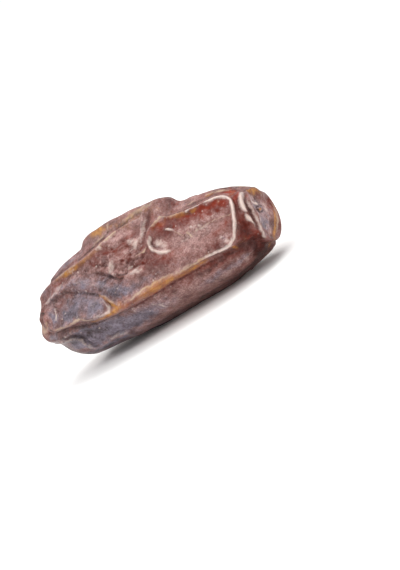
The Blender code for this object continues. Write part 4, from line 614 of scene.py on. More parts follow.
# and as patches: (along, down, reach along, reach down, strength), lengths in pixels
PATCHES = {
    # pale patches: painted highlights on lit swells and wrinkles, with some paler skin
    "pale_and_highlight": [
        (56, -17, 15, 4, 0.26), (40, -13, 7, 4, 0.2), (66, 33, 22, 3, 0.15), (84, 29, 7, 2.6, 0.2),
        (-82, -37.4, 3, 1, 0.4), (-77, 3, 6, 5, 0.16), (-14, -36.6, 3.6, 2.8, 0.58),
        (-9.8, -34, 3.2, 2.8, 0.58), (-12.4, -31, 3.6, 2.4, 0.45), (-17.6, -28.8, 1.4, 0.8, 0.6),
        (-16, -38.6, 1.4, 0.8, 0.6), (-42, -25.8, 2.6, 2.6, 0.45), (-44, -22.6, 2.8, 2.6, 0.5),
        (-45.4, -18.6, 2.4, 2, 0.3), (-39.8, -28, 1, 1, 0.4), (-47, -19.6, 1.8, 1.2, 0.4),
        (-44.4, -15.2, 0.9, 1.2, 0.5), (-27.6, -9.2, 3.6, 2.4, 0.5), (-27, -13.4, 2, 1.6, 0.5),
        (-23.6, -9.6, 2, 1.4, 0.5), (-23, -7, 3.6, 2.2, 0.5), (-19, -10.4, 2, 2, 0.35),
        (-17.4, -7, 1.6, 1.4, 0.4), (-24.4, -14, 1.6, 0.9, 0.45), (-5.6, -54, 1.6, 1.3, 0.8),
        (5, -53.6, 3, 2, 0.3), (-44.8, -45.8, 1.7, 1.3, 0.8), (-48.5, -46.2, 1.3, 1, 0.6),
        (-31, -50.6, 1.4, 1, 0.4), (-38.5, -49, 1.4, 0.9, 0.4), (10.4, -23, 4, 3, 0.45),
        (13.6, -18, 3.4, 3.4, 0.45), (8.5, -22, 1.8, 1.6, 0.3), (12, -14, 3, 1.4, 0.45),
        (45.7, -22.6, 1.7, 1, 0.65), (49.5, -21.6, 1.6, 0.9, 0.4), (53.7, -20.8, 1.6, 0.9, 0.55),
        (35, -25, 1.4, 1, 0.35), (58.3, -25, 0.9, 0.9, 0.35), (41, -23.5, 1.2, 0.9, 0.3),
        (31.7, -14, 1.8, 1.6, 0.3), (53, -9, 1.2, 0.9, 0.3), (60, -12, 2, 1.5, 0.25),
        (71.7, 6, 2.6, 1.6, 0.45), (68.3, 0.4, 1.8, 1.2, 0.4), (73.6, 7.6, 1.4, 0.8, 0.4),
        (70.5, -23, 2.6, 1, 0.3), (74.5, -6.3, 0.9, 0.8, 0.3), (112.5, -16.6, 1.5, 1.6, 0.75),
        (115, -14, 1.4, 1.4, 0.8), (114, -21.6, 1.4, 1.4, 0.35), (121.6, -8, 1.2, 2.4, 0.35),
        (121, -3.4, 1.2, 1.4, 0.4), (112, 1.6, 1.2, 1.4, 0.4), (113.5, 12.6, 1.2, 1, 0.4),
        (115.6, 11.2, 1, 0.8, 0.35), (115, 18, 1.4, 1.6, 0.4), (123, -18.6, 0.9, 1.4, 0.35),
        (-11.8, 8, 0.8, 0.8, 1), (-9.1, 6.9, 0.6, 0.6, 0.7), (-6.2, 3.2, 0.9, 1.2, 0.35),
        (-46.8, -1.2, 0.9, 0.9, 0.35), (6.8, 0, 0.8, 0.7, 0.35), (-56, -30.2, 0.8, 0.8, 0.7),
        (-74.8, -33, 1, 1, 0.6), (-79.2, -31, 0.9, 0.9, 0.4), (-76.9, -12.6, 0.9, 1, 0.6),
        (-83.4, -16, 0.9, 1.2, 0.45), (-88, -22, 1.2, 1, 0.4), (-67.4, -15.4, 0.8, 0.8, 0.35),
        (-80.8, -24.6, 0.8, 0.8, 0.35), (-110.8, 1.2, 0.7, 0.7, 0.8), (-100.4, -9, 0.8, 0.9, 0.45),
        (-105.2, -2.4, 1.3, 1.3, 0.3), (-108, -15, 0.8, 1, 0.3), (-96.4, 5.8, 1.2, 0.7, 0.45),
        (-117, -20.9, 1.5, 0.9, 0.55), (-81.6, 26.1, 0.7, 0.7, 0.7), (-70, 28.8, 1, 0.8, 0.35),
        (-66.3, 25.6, 0.8, 0.7, 0.3), (-43.2, 24, 0.7, 1, 0.85), (-41.8, 26.6, 0.7, 1, 0.75),
        (-110, 17.4, 2, 1, 0.35), (-99.4, 21.7, 1.4, 0.9, 0.4), (-85.8, 38.6, 1, 0.8, 0.35),
        (-95.8, 31, 1.2, 0.9, 0.25), (-69, 4, 2, 1, 0.2), (-115.8, 18, 1.2, 1, 0.6),
        (-129, 13.6, 1.5, 1, 0.3), (-80.2, -35.4, 0.8, 0.7, 0.6), (-77.7, -37.6, 1, 0.7, 0.5),
        (10.6, 27, 0.7, 0.7, 0.35), (24.8, 33.6, 1, 1, 0.3), (-6.4, 35.6, 1.4, 0.8, 0.3),
        (6, 39.4, 1.4, 0.7, 0.25), (-53, 14.6, 0.9, 0.6, 0.6), (-29, 20.8, 0.9, 0.7, 0.8),
        (55.6, -32.8, 0.8, 0.8, 0.35), (82.4, -33, 1.2, 0.9, 0.25), (85.8, -29, 0.8, 0.9, 0.2),
        (85.6, -22, 0.7, 0.7, 0.4), (88, -25, 0.6, 0.8, 0.4), (69.8, -28, 0.9, 0.9, 0.25),
        (61.8, -28, 0.9, 0.9, 0.2), (-30, -39, 1.4, 0.8, 0.3), (-24, -29, 1.6, 1.2, 0.3),
        (-35, -43, 1.6, 0.8, 0.3),
    ],
    "amber": [
        (25, -39.6, 22, 2.2, 0.35), (0, -57, 46, 5, 0.28), (-15, -53, 12, 2.6, 0.3), (99, -34, 5, 3, 0.1),
        (108, 29, 4, 2.4, 0.5), (85, 14, 8, 4, 0.25), (98, -35, 3, 3, 0.3), (12, 15, 38, 2.2, 0.5),
        (43, -37.4, 1.8, 1.2, 0.8), (-31.4, 18.4, 0.9, 0.8, 0.9), (-36, 17.4, 0.8, 0.7, 0.8),
        (-39, 18.6, 0.7, 0.6, 0.7), (-45.8, 15, 0.7, 0.6, 0.6), (82.4, -33, 2, 1.4, 0.4),
        (109.5, 27, 2.6, 2.4, 0.5), (-26, -58.4, 1.4, 1.2, 0.6), (97.4, -33.4, 2.4, 2.6, 0.35),
        (-2, -21, 2, 1.4, 0.3),
    ],
    # dark patches: painted shade in hollows, under the ridges and towards the underside
    "dark": [
        (-80, 33, 30, 12, 0.22), (-122, 22, 8, 5, 0.25), (36, -60, 10, 5, 0.45), (99, -36, 5, 3, 0.4),
        (92, 20, 10, 4, 0.4), (-10, 23.6, 34, 2.6, 0.35), (50, 22.4, 22, 2.6, 0.75), (118, -22, 3, 2, 0.3),
        (105, 26, 8, 5, 0.7), (104, 32, 9, 5, 0.7), (88, 21, 6, 4, 0.5), (-93, -12, 8, 3, 0.3),
        (-38, -8, 3, 2, 0.4), (-85, 14, 4, 1.4, 0.4), (40, 8.6, 22, 1.4, 0.3), (-88, -11, 10, 4, 0.12),
        (-82, -33.4, 7, 1.4, 0.4), (-60, -30, 4, 2, 0.3), (-50, -37, 4, 2, 0.3), (-38, -7, 3, 2, 0.3),
        (98, -34, 3, 3, 0.25), (22, -40, 8, 2, 0.25), (-122, 33, 4, 8, 0.5), (30, 45, 40, 3, 0.5),
        (-64, -7, 5, 3.2, 0.45), (-92, 26, 9, 3.6, 0.55), (-80, 30, 9, 5, 0.3), (-70, 38.4, 9, 2, 0.35),
        (-100, 45, 12, 2.4, 0.75), (-84, 46.4, 8, 2, 0.7), (-112, 40, 8, 3, 0.4), (-96, -19.4, 5, 3, 0.45),
        (-112, 4.4, 6, 1.3, 0.5), (-88.6, 32.6, 2.4, 2, 0.4), (98, 30, 7, 9, 0.75), (60.5, 5.6, 3, 2, 0.3),
        (88, 38, 8, 4, 0.6), (104, 18, 3.4, 5, 0.6), (92, 4, 7, 8, 0.45), (40, -55, 3, 2, 0.3),
        (-37, -37.4, 2, 1.6, 0.35), (-47, -28, 3, 1.8, 0.35), (115.6, -18.4, 1, 1.2, 0.6),
        (118, -15.8, 1, 1.2, 0.6), (112.6, -2, 1.2, 1.2, 0.55), (118, 2.4, 1.4, 1.4, 0.55),
        (116, 6.6, 1.2, 1, 0.5), (120, 8, 1.2, 1.6, 0.5), (117, 12.6, 1.6, 1, 0.5),
        (124, -11.6, 1.2, 1.6, 0.4), (-6.6, -14, 2.4, 1.6, 0.4), (-10, -11, 1.6, 1, 0.4),
        (-55, 49, 12, 2, 0.4), (-20, 48, 16, 2, 0.35), (20, 45, 24, 2, 0.4), (109, 27, 4, 4, 0.45),
        (-109, -17, 3, 1.6, 0.3), (60, 16, 13, 1.2, 0.5), (-14, -40, 3, 1, 0.2), (-106, 15, 6, 1.2, 0.3),
        (12, -49.6, 1.6, 1.8, 0.4), (-31, -23, 1.4, 2, 0.3), (36, -35, 4, 1.6, 0.3),
    ],
    "red": [
        (27, -31, 22, 7, 0.65), (22, -40, 10, 3, 0.7), (64, -31, 24, 6, 0.64), (62, -7, 14, 4, 0.45),
        (-2, -12, 16, 6, 0.5), (12, -2, 20, 5, 0.5), (78, -30, 9, 5, 0.7), (88, -27, 2.6, 6, 0.6),
        (10, -40, 8, 4, 0.7), (16, -48, 3, 7, 0.7), (20, -28, 6, 5, 0.4), (82, -14, 3.6, 7, 0.5),
        (60.5, 5.6, 4.5, 2.8, 1), (51, 0.4, 4, 2.4, 0.6), (38, -56.8, 7, 5, 0.9),
        (42.5, -49.6, 3.4, 1.6, 0.8), (9, -7, 14, 3, 0.7), (-6, -6, 9, 4, 0.5), (-10, -14, 10, 5, 0.75),
        (-8, -20, 9, 3, 0.4), (-28, -22, 4, 5, 0.5), (-20, -38, 7, 3, 0.6), (-37, -37, 6, 2.6, 0.7),
        (-50, -29, 5, 3, 0.5), (-58, -35.6, 5, 2.6, 0.7), (-49, -39, 7, 3, 0.5), (-95, -32.4, 7, 1.4, 0.9),
        (-103, -32.4, 4, 1.6, 0.5), (-112, -27, 6, 3.4, 0.15), (-121, -9, 2, 2, 0.4),
        (-70, -26, 4, 1.6, 0.5), (111, -24.4, 3, 1.6, 0.8), (119.4, -20.4, 2, 3, 0.7),
        (125.4, -12, 2.2, 4, 0.6), (127.4, -3, 1.8, 7, 0.5), (90, 8, 6, 8, 1), (104, 17, 3, 5, 0.4),
        (94, 26, 6, 9, 0.8), (20, 22.4, 26, 2.2, 0.6), (62, 22.6, 20, 2.6, 0.8), (-15, -60, 10, 2, 0.3),
        (-83, 17, 3, 1.8, 0.6), (-96, 12.4, 6, 1.4, 0.5), (-50, -55, 7, 2.6, 0.35),
        (-10, 16, 40, 2.4, 0.35), (-42, 17, 11, 3, 0.7), (36, -60, 9, 5, 1), (43, -54, 5, 4, 1),
        (103, 16, 6, 8, 1), (102, 26, 9, 7, 1), (62, -28, 18, 4, 0.55), (24, -37, 12, 4, 0.5),
        (90, 22, 7, 6, 1), (126, -8, 2.4, 8, 0.6), (98, -36, 7, 4, 1), (35, -24, 6, 4, 0.3),
        (5, -28, 3, 3, 0.3), (-30, -30, 4, 3, 0.3), (0, -50, 4, 5, 0.2),
    ],
    "glow": [
        (99, -35, 7, 5, 1), (99.6, -28, 2.4, 5, 1), (74, -32, 14, 4, 0.4), (52, -33, 13, 3, 0.34),
        (86, -31, 3, 5, 0.2), (24, -38, 12, 3, 0.35), (92, 12, 5, 9, 0.35), (111, -24.6, 3, 1.6, 0.5),
        (41, -35.6, 6, 2, 0.4), (91.2, -37.4, 4, 2, 0.6), (66, -44, 5, 1.2, 0.3), (-22, 19, 12, 1.6, 0.35),
    ],
    # lilac patches: the waxy bloom, partly a painted sheen where the skin faces the light
    "lilac_bloom_and_sheen": [
        (-77, 2, 8, 6, 0.45), (-130, 4, 3, 4, 0.5), (52, -20, 22, 5.4, 1), (60, -12, 14, 5, 0.8),
        (34, -16, 8, 5, 0.6), (60, -28, 20, 2.4, 0.12), (38, -6, 13, 6, 0.7), (31, -13, 4, 4, 0.6),
        (11.5, -20.5, 5, 5, 1), (70.5, 4, 5, 4.4, 1), (18, -14, 5, 4, 0.4), (70, -22, 8, 2.4, 0.7),
        (45.5, -22, 6, 2, 0.7), (20, 3, 22, 3.6, 0.25), (50, -2, 10, 4, 0.34), (-9, -54, 5, 2.6, 0.7),
        (4, -53, 5, 5, 1), (-12, -34, 5.4, 4.8, 1), (-42.6, -24.6, 4, 4.4, 1), (-23, -8.4, 9, 3.6, 0.9),
        (-46, -18.6, 4.4, 3, 0.7), (-38, -32, 4, 4, 0.4), (-30, -41, 7, 2, 0.6), (-32, -48, 10, 2.6, 0.9),
        (-14, -48.4, 9, 2.4, 0.7), (-20, -29, 5, 2, 0.5), (29, -51, 3.6, 4.6, 0.8), (34, -48, 4, 3, 0.8),
        (56, -45.4, 12, 2.2, 1), (44, -46.6, 9, 2, 1), (-68, -31, 6, 3, 0.9), (-104, 0, 5, 5, 0.4),
        (-2, -56, 13, 3, 0.8), (-93, 33, 7, 5, 0.7), (-117, -3, 4, 8, 0.6), (101, -14, 1.6, 8, 0.3),
        (96, -12, 2.4, 5, 0.3), (-36, -27, 5, 3, 0.4), (62, -47.6, 8, 1.6, 0.8), (22.8, -53, 1.8, 5.5, 0.9),
        (106, -29, 2.6, 2.6, 0.6), (113.4, -15, 4.4, 6, 1), (113.4, 2, 4.4, 6, 0.9), (120, -5, 3, 8, 0.7),
        (114.6, 15, 3.6, 5.4, 0.9), (62, 34, 25, 3.8, 1), (84, 29, 7, 3.4, 0.8), (25, 32, 18, 5, 0.75),
        (0, 33, 14, 6, 0.65), (-18, 34, 8, 5, 0.6), (-41, 25, 3, 3, 0.4), (-15, 13, 14, 2, 0.2),
        (-90, -45, 10, 3, 0.7), (-72, -47, 12, 3, 0.6), (-42, -54, 12, 2, 0.5), (-10, -57, 16, 2.6, 0.5),
        (-80, -28, 10, 4.6, 0.45), (-103, -25, 10, 2.2, 1), (-92, -27.4, 7, 2, 0.7),
        (-65, -30, 7, 2.8, 0.6), (-124, 14, 5, 1.8, 0.4), (-106, 32, 6, 3.6, 0.6), (-62, 45, 5, 1.6, 0.5),
        (-127, 3, 2, 7, 0.6), (-115, -14, 5, 6, 0.4), (80, -46, 12, 2, 0.6), (-20, 26, 10, 3, 0.3),
    ],
    "blue": [
        (-117, -3, 4, 8, 0.8), (-112, -31, 10, 4, 0.4), (-93, 33, 7, 5, 0.5), (-124, 25, 6, 5, 0.6),
        (-90, -6, 24, 12, 0.75), (-76, 6, 9, 7, 0.9), (-84, -26, 12, 4, 0.35), (-104, 2, 10, 5, 0.7),
        (-50, 0, 14, 7, 0.75), (-56, -12, 10, 8, 0.6), (-76, -20, 12, 6, 0.5), (-40, 6, 12, 3.6, 0.6),
        (-20, 4, 16, 3.6, 0.4), (-110, -22, 10, 4, 0.35), (-96, 24, 20, 8, 1), (-108, 32, 10, 7, 0.8),
        (-70, 32, 20, 9, 1), (-50, 36, 16, 10, 0.9), (-30, 34, 14, 12, 0.65), (-10, 34, 12, 10, 0.35),
        (-90, 36, 8, 7, 1), (113.4, -12, 4, 8, 0.5), (113.6, 8, 4, 9, 0.8), (-82, -46, 14, 4, 0.5),
        (78, 30, 12, 4, 0.6), (-126, 14, 6, 2, 0.8), (46, 33, 22, 4.5, 0.55), (-115, -5, 2.4, 5, 0.3),
        (12, 5, 22, 3, 0.2), (70, 4, 5, 4, 0.25), (-65, 45, 16, 4, 0.6), (-88, 45, 18, 4, 0.8),
        (46, -46.4, 10, 1.6, 0.3), (-44, -34, 5, 4, 0.2), (-98, -26, 5, 2, 0.4),
    ],
}

# patches on the hidden side and underneath: (x, angle, reach along, reach round, strength)
FAR_PATCHES = {
    "red": [(8, 125, 3, 1.5, 0.5), (14, 205, 3, 2, 0.5), (-4, 165, 4, 1.2, 0.4), (3, 235, 4, 1.4, 0.4),
        (-12, 150, 3, 1.2, 0.4), (18, 160, 2, 1.4, 0.4)],
    "lilac_bloom_and_sheen": [(0, 150, 20, 9, 0.4), (0, 215, 20, 9, 0.35), (-4, -50, 14, 3, 0.3)],
    "blue": [(-14, 160, 9, 5, 0.5), (-15, 215, 8, 5, 0.5), (-16, -70, 8, 4, 0.6), (-6, -75, 8, 3, 0.4)],
}


def waves(places, length, count, seed):
    """A smooth random height of about one: plane waves of about the given length, in all directions."""
    rng = np.random.RandomState(seed)
    way = rng.normal(size=(count, 3))
    size = 2 * np.pi / length * rng.uniform(0.7, 1.3, count)
    way *= (size / np.linalg.norm(way, axis=1))[:, None]
    start = rng.uniform(0, 2 * np.pi, count)
    return np.cos(places @ way.T + start).sum(axis=1) * np.sqrt(2 / count)


def spots(places, listed):
    """Rounded patches on the skin: each a bell curve along the fruit and round it, as wide as its reaches."""
    total = np.zeros(len(places))
    for x, angle, reach_along, reach_round, height in listed:
        c, s = np.cos(np.radians(angle)), np.sin(np.radians(angle))
        off = places - on_body(np.array([x]), np.array([angle]))[0]
        u = off[:, 0] / reach_along
        v = (off[:, 1] * s + off[:, 2] * c) / reach_round
        w = (off[:, 2] * s - off[:, 1] * c) / max(reach_along, reach_round)
        total += height * np.exp(-(u * u + v * v + 0.3 * w * w))
    return total


def skin_relief(places):
    """How far the skin stands off the smooth body, with the crests, creases and wrinkles its finish follows.

    Ridge crests, less the sag between them, then folds and creases, dents, and two sizes of wrinkle. Crests,
    folds and creases are bell curves of the distance to their lines, and the sag is what such a curve leaves.
    The crests set the gloss, the creases a painted shade, and the wrinkles a painted highlight and shade in
    the waxy coat.
    """
    crest = np.zeros(len(places))
    shine = np.zeros(len(places))
    near = np.zeros(len(places))
    for points in RIDGES:
        distance, height, width = nearest(places, points)
        rise = np.exp(-(distance / width) ** 2)
        crest = np.maximum(crest, height * rise)
        shine = np.maximum(shine, np.clip(height * 2.5, 0, 1) * rise)
        near += np.exp(-distance / BLEND)
    from_ridge = np.maximum(-BLEND * np.log(np.maximum(near, 1e-12)), 0)
    x = places[:, 0]
    degrees = np.degrees(np.arctan2(places[:, 2], -places[:, 1]))
    lobe_x = np.abs((x - LOBE_AT[0]) / LOBE_REACH[0])
    lobe_angle = np.abs((degrees - LOBE_AT[1]) / LOBE_REACH[1])
    lobe = np.exp(-(lobe_x ** 5 + lobe_angle ** 3) ** 2)
    face = 1 / (1 + np.exp(-(x - FACE_FROM) * 4))
    sag = SINK * (1 - 0.85 * lobe) * (1 - 0.6 * face) * (1 - np.exp(-(from_ridge / REACH) ** 2))
    edge = EDGE * (1 - 0.7 * lobe) * (1 - np.exp(-(from_ridge / EDGE_REACH) ** 2))
    total = crest - sag - edge
    crease = np.zeros(len(places))
    for points in FOLDS:
        distance, height, width = nearest(places, points, 4)
        shape = height * np.exp(-(distance / width) ** 2)
        total += shape
        # where a fold sinks into a crease, the strength of its painted shade
        crease = np.maximum(crease, np.clip(-shape * 1.8, 0, 1))
        shine = np.maximum(shine, np.clip(shape * 1.8, 0, 1))
    total += spots(places, DENTS)
    # wrinkles: winding ones in the middle of the front, faint ones elsewhere, and a slow unevenness
    bent = places + 0.5 * np.stack([waves(places, 3.0, 24, seed) for seed in (11, 12, 13)], 1)
    wrinkle = 0.6 - np.abs(waves(bent, WRINKLE, 40, 21))
    small = 0.6 - np.abs(waves(bent, SMALL_WRINKLE, 40, 22))
    middle_x = ((x - MIDDLE_AT[0]) / MIDDLE_REACH[0]) ** 4
    middle_angle = ((degrees - MIDDLE_AT[1]) / MIDDLE_REACH[1]) ** 4
    middle = np.exp(-middle_x - middle_angle)
    clear = np.clip(from_ridge / 1.2, 0, 1)
    total += ((0.02 + 0.1 * middle) * wrinkle + (0.02 + 0.05 * middle) * small) * clear
    total += 0.05 * waves(places, 5.0, 30, 31) * (1 - 0.7 * face)
    winding = (0.25 + 0.75 * middle) * (wrinkle + 0.6 * small) * clear
    return total, {"shine": shine, "crease": crease, "wrinkle": winding}


def seen_skin(turn, angle, places):
    """The skin that the photograph's camera sees, as rows: pixels along and down, x, and degrees.

    The grid's points are put on the picture plane, with more between them on straight lines. In each small
    cell of the picture, those that lie deeper than the nearest one are hidden by it and left out.
    """
    off = places - eye
    depth = -off @ back
    px = LENS / SENSOR * FRAME_PX[1] / depth
    sideways = off @ right * px + FRAME_PX[0] / 2 - MARKS_FROM_PX[0]
    downwards = -off @ up * px + FRAME_PX[1] / 2 - MARKS_FROM_PX[1]
    along = sideways * np.cos(FRUIT_RISE) - downwards * np.sin(FRUIT_RISE)
    down = sideways * np.sin(FRUIT_RISE) + downwards * np.cos(FRUIT_RISE)
    grid = np.stack([along, down, turn, angle, depth], -1).reshape(-1, AROUND, 5)
    grid = np.concatenate([grid, grid[:, :1] + [0, 0, 0, 2 * np.pi, 0]], 1)
    for parts in (2, 3):
        t = np.arange(parts)[:, None, None] / parts
        grid = (grid[:-1, None] * (1 - t) + grid[1:, None] * t).reshape(-1, *grid.shape[1:]).swapaxes(0, 1)
    along, down, turn, angle, depth = grid.reshape(-1, 5).T
    cell = np.floor(np.stack([along, down]) / CELL_PX).astype(int)
    cell = tuple(cell - cell.min(axis=1, keepdims=True))
    front = np.full([c.max() + 1 for c in cell], np.inf)
    np.minimum.at(front, cell, depth)
    seen = depth < front[cell] + SKIN_DEPTH
    x = -np.cos(turn) * np.where(turn < np.pi / 2, HALF_LEFT, HALF_RIGHT)
    return np.stack([along, down, x, np.degrees(angle)])[:, seen]


def on_skin(marks, seen):
    """Marks of the picture put on the skin: the nearest skin seen gives each its x and angle."""
    rows = []
    for along, down, *rest in marks:
        k = np.argmin((seen[0] - along) ** 2 + (seen[1] - down) ** 2)
        x, degrees = seen[2, k], seen[3, k]
        if rows:
            degrees += 360 * round((rows[-1][1] - degrees) / 360)
        rows.append((x, degrees, *rest))
    return rows


def skin_marks(places, seen, shine):
    """The strength of each colour of mark on the smooth body's points: patches and lines, a little astray."""
    astray = np.stack([waves(places, 1.3, 40, seed) for seed in (41, 42, 43)], 1)
    marks = {}
    for name in ("pale_and_highlight", "tan_and_highlight", "amber", "dark", "red", "glow", "lilac_bloom_and_sheen", "blue"):
        patches = list(FAR_PATCHES.get(name, []))
        for x, angle, reach_along, reach_down, strength in on_skin(PATCHES.get(name, []), seen):
            patches.append((x, angle, reach_along * MM_ALONG, reach_down * MM_ROUND, strength))
        shift = CRISP if name == "pale_and_highlight" else LOOSE
        marks[name] = np.clip(spots(places + shift * astray, patches), 0, 1)
        for points in LINES.get(name, []):
            distance, strength, width = nearest(places + CRISP * astray, on_skin(points, seen), 2)
            marks[name] = np.maximum(marks[name], strength * np.exp(-(distance / width) ** 2))
    # the ridges at the back are marked as those in front: amber in places, with a thin tan crest
    # that is partly a painted highlight
    behind = 1 / (1 + np.exp(6 - 2 * places[:, 1]))
    back_crest_share = behind * np.clip(0.5 + 0.8 * waves(places, 4.0, 24, 51), 0, 1)
    marks["tan_and_highlight"] = np.maximum(marks["tan_and_highlight"], 0.6 * back_crest_share * shine ** 6)
    marks["amber"] = np.maximum(marks["amber"], 0.7 * back_crest_share * shine ** 2)
    return marks


def skin_grid():
    """Stations and angles: stations turn evenly from end to end, angles lie closer together at the front."""
    turn = np.linspace(0, np.pi, ALONG + 1)[1:-1]
    even = np.linspace(0, 2 * np.pi, AROUND, endpoint=False)
    angle = even - CLOSER_FRONT * np.sin(even - np.radians(CLOSER_AT))
    return np.meshgrid(turn, angle, indexing="ij")


def make_date():
    """The grid's points, with one more at each end, joined by quads and two fans of triangles."""
    turn, angle = skin_grid()
    turn = np.concatenate([[0], turn.ravel(), [np.pi]])
    angle = np.concatenate([[0], angle.ravel(), [0]])
    smooth = body_place(turn, angle)
    height, looks = skin_relief(smooth)
    places = smooth + body_normal(turn, angle) * height[:, None]
    seen = seen_skin(turn[1:-1], angle[1:-1], places[1:-1])
    looks.update(skin_marks(smooth, seen, looks["shine"]))
    places[:, 2] = np.maximum(places[:, 2], FLOOR)
    rings = ALONG - 1
    ring = 1 + np.arange(rings * AROUND).reshape(rings, AROUND)
    beside = np.roll(ring, -1, axis=1)
    quads = np.stack([ring[:-1], beside[:-1], beside[1:], ring[1:]], axis=-1).reshape(-1, 4)
    left = np.stack([beside[0], ring[0], np.zeros(AROUND, int)], axis=-1)
    right = np.stack([ring[-1], beside[-1], np.full(AROUND, rings * AROUND + 1)], axis=-1)
    mesh = bpy.data.meshes.new("date_skin")
    mesh.from_pydata((places - CENTRE) * MM, [], quads.tolist() + left.tolist() + right.tolist())
    mesh.polygons.foreach_set("use_smooth", [True] * len(mesh.polygons))
    for name, values in looks.items():
        mesh.attributes.new(name, "FLOAT", "POINT").data.foreach_set("value", values)
    mesh.update()
    piece = bpy.data.objects.new("date_skin", mesh)
    bpy.context.scene.collection.objects.link(piece)
    return piece


date = make_date()


def linear(code):
    """An sRGB hex colour as the linear one that shaders take."""
    parts = [int(code[k:k + 2], 16) / 255 for k in (1, 3, 5)]
    return [c / 12.92 if c <= 0.04045 else ((c + 0.055) / 1.055) ** 2.4 for c in parts] + [1]


def add(tree, kind, sockets=None, out=0, **settings):
    """Adds a node and gives one of its outputs. Each socket gets a value, or the output that feeds it."""
    made = tree.nodes.new(kind)
    for name, value in settings.items():
        setattr(made, name, value)
    for name, value in (sockets or {}).items():
        if isinstance(value, bpy.types.NodeSocket):
            tree.links.new(value, made.inputs[name])
        else:
            made.inputs[name].default_value = value
    return made.outputs[out]


def fruit_skin():
    """Dried fruit skin, sun-dried on the stalk: waxy and red-brown, uneven as thin skin over deep brown flesh
    is.

    The eye sees flesh through it, redder where it is stretched, a dull whitish wax in clouds and streaks that
    is partly a painted sheen, clear amber crests on the ridges and whitish ones partly painted as highlights,
    painted shade in creases and hollows, and specks of sugar. Crests are glossy, the wax is matt.
    """
    material = bpy.data.materials.new("sun-dried date skin")
    material.use_nodes = True
    tree = material.node_tree
    surface = tree.nodes["Principled BSDF"]
    place = add(tree, "ShaderNodeTexCoord", out="Object")

    # its unevenness, from broad to fine: size in millimetres, detail, roughness, and drawn out along the
    # fruit below one; then the noise's span that is used, and what it is spread to
    noises, uneven = {}, {}
    for name, size_mm, detail, rough, drawn, low, high, least, most in (
            ("flesh", 2.6, 4, 0.6, 0.7, 0.36, 0.64, 0, 1),
            ("cloud", 2.0, 6, 0.72, 1, 0.36, 0.64, 0.7, 1.3),
            ("mottle", 1.6, 5, 0.64, 1, 0.46, 0.7, 0, 0.4),
            ("gold", 1.5, 4, 0.7, 1, 0.38, 0.62, 0, 1),
            ("streaks", 0.8, 4, 0.62, 0.75, 0.34, 0.66, 0.74, 1.26),
            ("grain", 0.28, 2, 0.5, 1, 0.3, 0.7, 0.55, 1.45)):
        where = add(tree, "ShaderNodeMapping", {"Vector": place, "Scale": (drawn, 1, 1)})
        noises[name] = add(tree, "ShaderNodeTexNoise", {
            "Vector": where, "Scale": 1 / (size_mm * MM), "Detail": detail, "Roughness": rough})
        uneven[name] = add(tree, "ShaderNodeMapRange", {
            "Value": noises[name], "From Min": low, "From Max": high, "To Min": least, "To Max": most})

    # its marks with frayed edges: size of the fraying in millimetres, its depth, and the strength that is
    # whole
    marks = {}
    for name, size_mm, depth, whole in (
            ("blue", 1.2, 0.4, 0.85), ("red", 1.0, 0.4, 1), ("glow", 1.0, 0.3, 1), ("lilac_bloom_and_sheen", 0.9, 0.5, 0.85),
            ("amber", 0.8, 0.3, 0.85), ("dark", 0.5, 0.7, 0.85), ("tan_and_highlight", 0.5, 0.35, 0.85),
            ("pale_and_highlight", 0.5, 0.35, 0.85)):
        mask = add(tree, "ShaderNodeAttribute", out="Fac", attribute_name=name)
        noise = add(tree, "ShaderNodeTexNoise", {
            "Vector": place, "Scale": 1 / (size_mm * MM), "Detail": 3, "Roughness": 0.6})
        fray = add(tree, "ShaderNodeMapRange", {
            "Value": noise, "From Min": 0.3, "From Max": 0.7, "To Min": -depth / 2, "To Max": depth / 2})
        torn = add(tree, "ShaderNodeMath", {0: mask, 1: fray}, operation="ADD")
        torn = add(tree, "ShaderNodeMapRange", {"Value": torn, "From Min": 0.08, "From Max": whole})
        inside = add(tree, "ShaderNodeMapRange", {"Value": mask, "From Min": 0.02, "From Max": 0.2})
        marks[name] = add(tree, "ShaderNodeMath", {0: torn, 1: inside}, operation="MULTIPLY")
    winding = add(tree, "ShaderNodeAttribute", out="Fac", attribute_name="wrinkle")
    # raised wrinkles get a painted highlight through the bloom, their hollows a painted shade
    wrinkle_shade = add(tree, "ShaderNodeMapRange", {"Value": winding, "From Min": 0, "From Max": -0.9})
    wrinkle_highlight = add(tree, "ShaderNodeMapRange", {
        "Value": winding, "From Min": 0, "From Max": 0.9, "To Max": 0.6})
    # the creases' painted shade, from their depth
    marks["crease"] = add(tree, "ShaderNodeAttribute", out="Fac", attribute_name="crease")
    # even at their strongest, these let some of the skin below show
    for name, share in (("dark", 0.8), ("amber", 0.9), ("crease", 0.3)):
        marks[name] = add(tree, "ShaderNodeMath", {0: marks[name], 1: share}, operation="MULTIPLY")

    # the bloom, partly a painted sheen: thin everywhere, thicker in its lilac patches and to the left,
    # thicker on raised wrinkles as a painted highlight and thinner in their hollows as a painted shade,
    # rubbed off red places
    bloom_and_sheen_cover = 0.21
    for part, share in (
            (marks["lilac_bloom_and_sheen"], 0.46), (wrinkle_highlight, 0.46), (marks["blue"], 0.34),
            (marks["red"], -0.22), (marks["glow"], -0.22), (wrinkle_shade, -0.22)):
        bloom_and_sheen_cover = add(tree, "ShaderNodeMath", {0: part, 1: share, 2: bloom_and_sheen_cover}, operation="MULTIPLY_ADD")
    tint = add(tree, "ShaderNodeMapRange", {"Value": uneven["flesh"], "To Min": 0.7, "To Max": 1.3})
    for spread in (tint, uneven["cloud"], uneven["streaks"], uneven["grain"]):
        bloom_and_sheen_cover = add(tree, "ShaderNodeMath", {0: bloom_and_sheen_cover, 1: spread}, operation="MULTIPLY")
    bloom_and_sheen_cover = add(tree, "ShaderNodeMapRange", {"Value": bloom_and_sheen_cover})

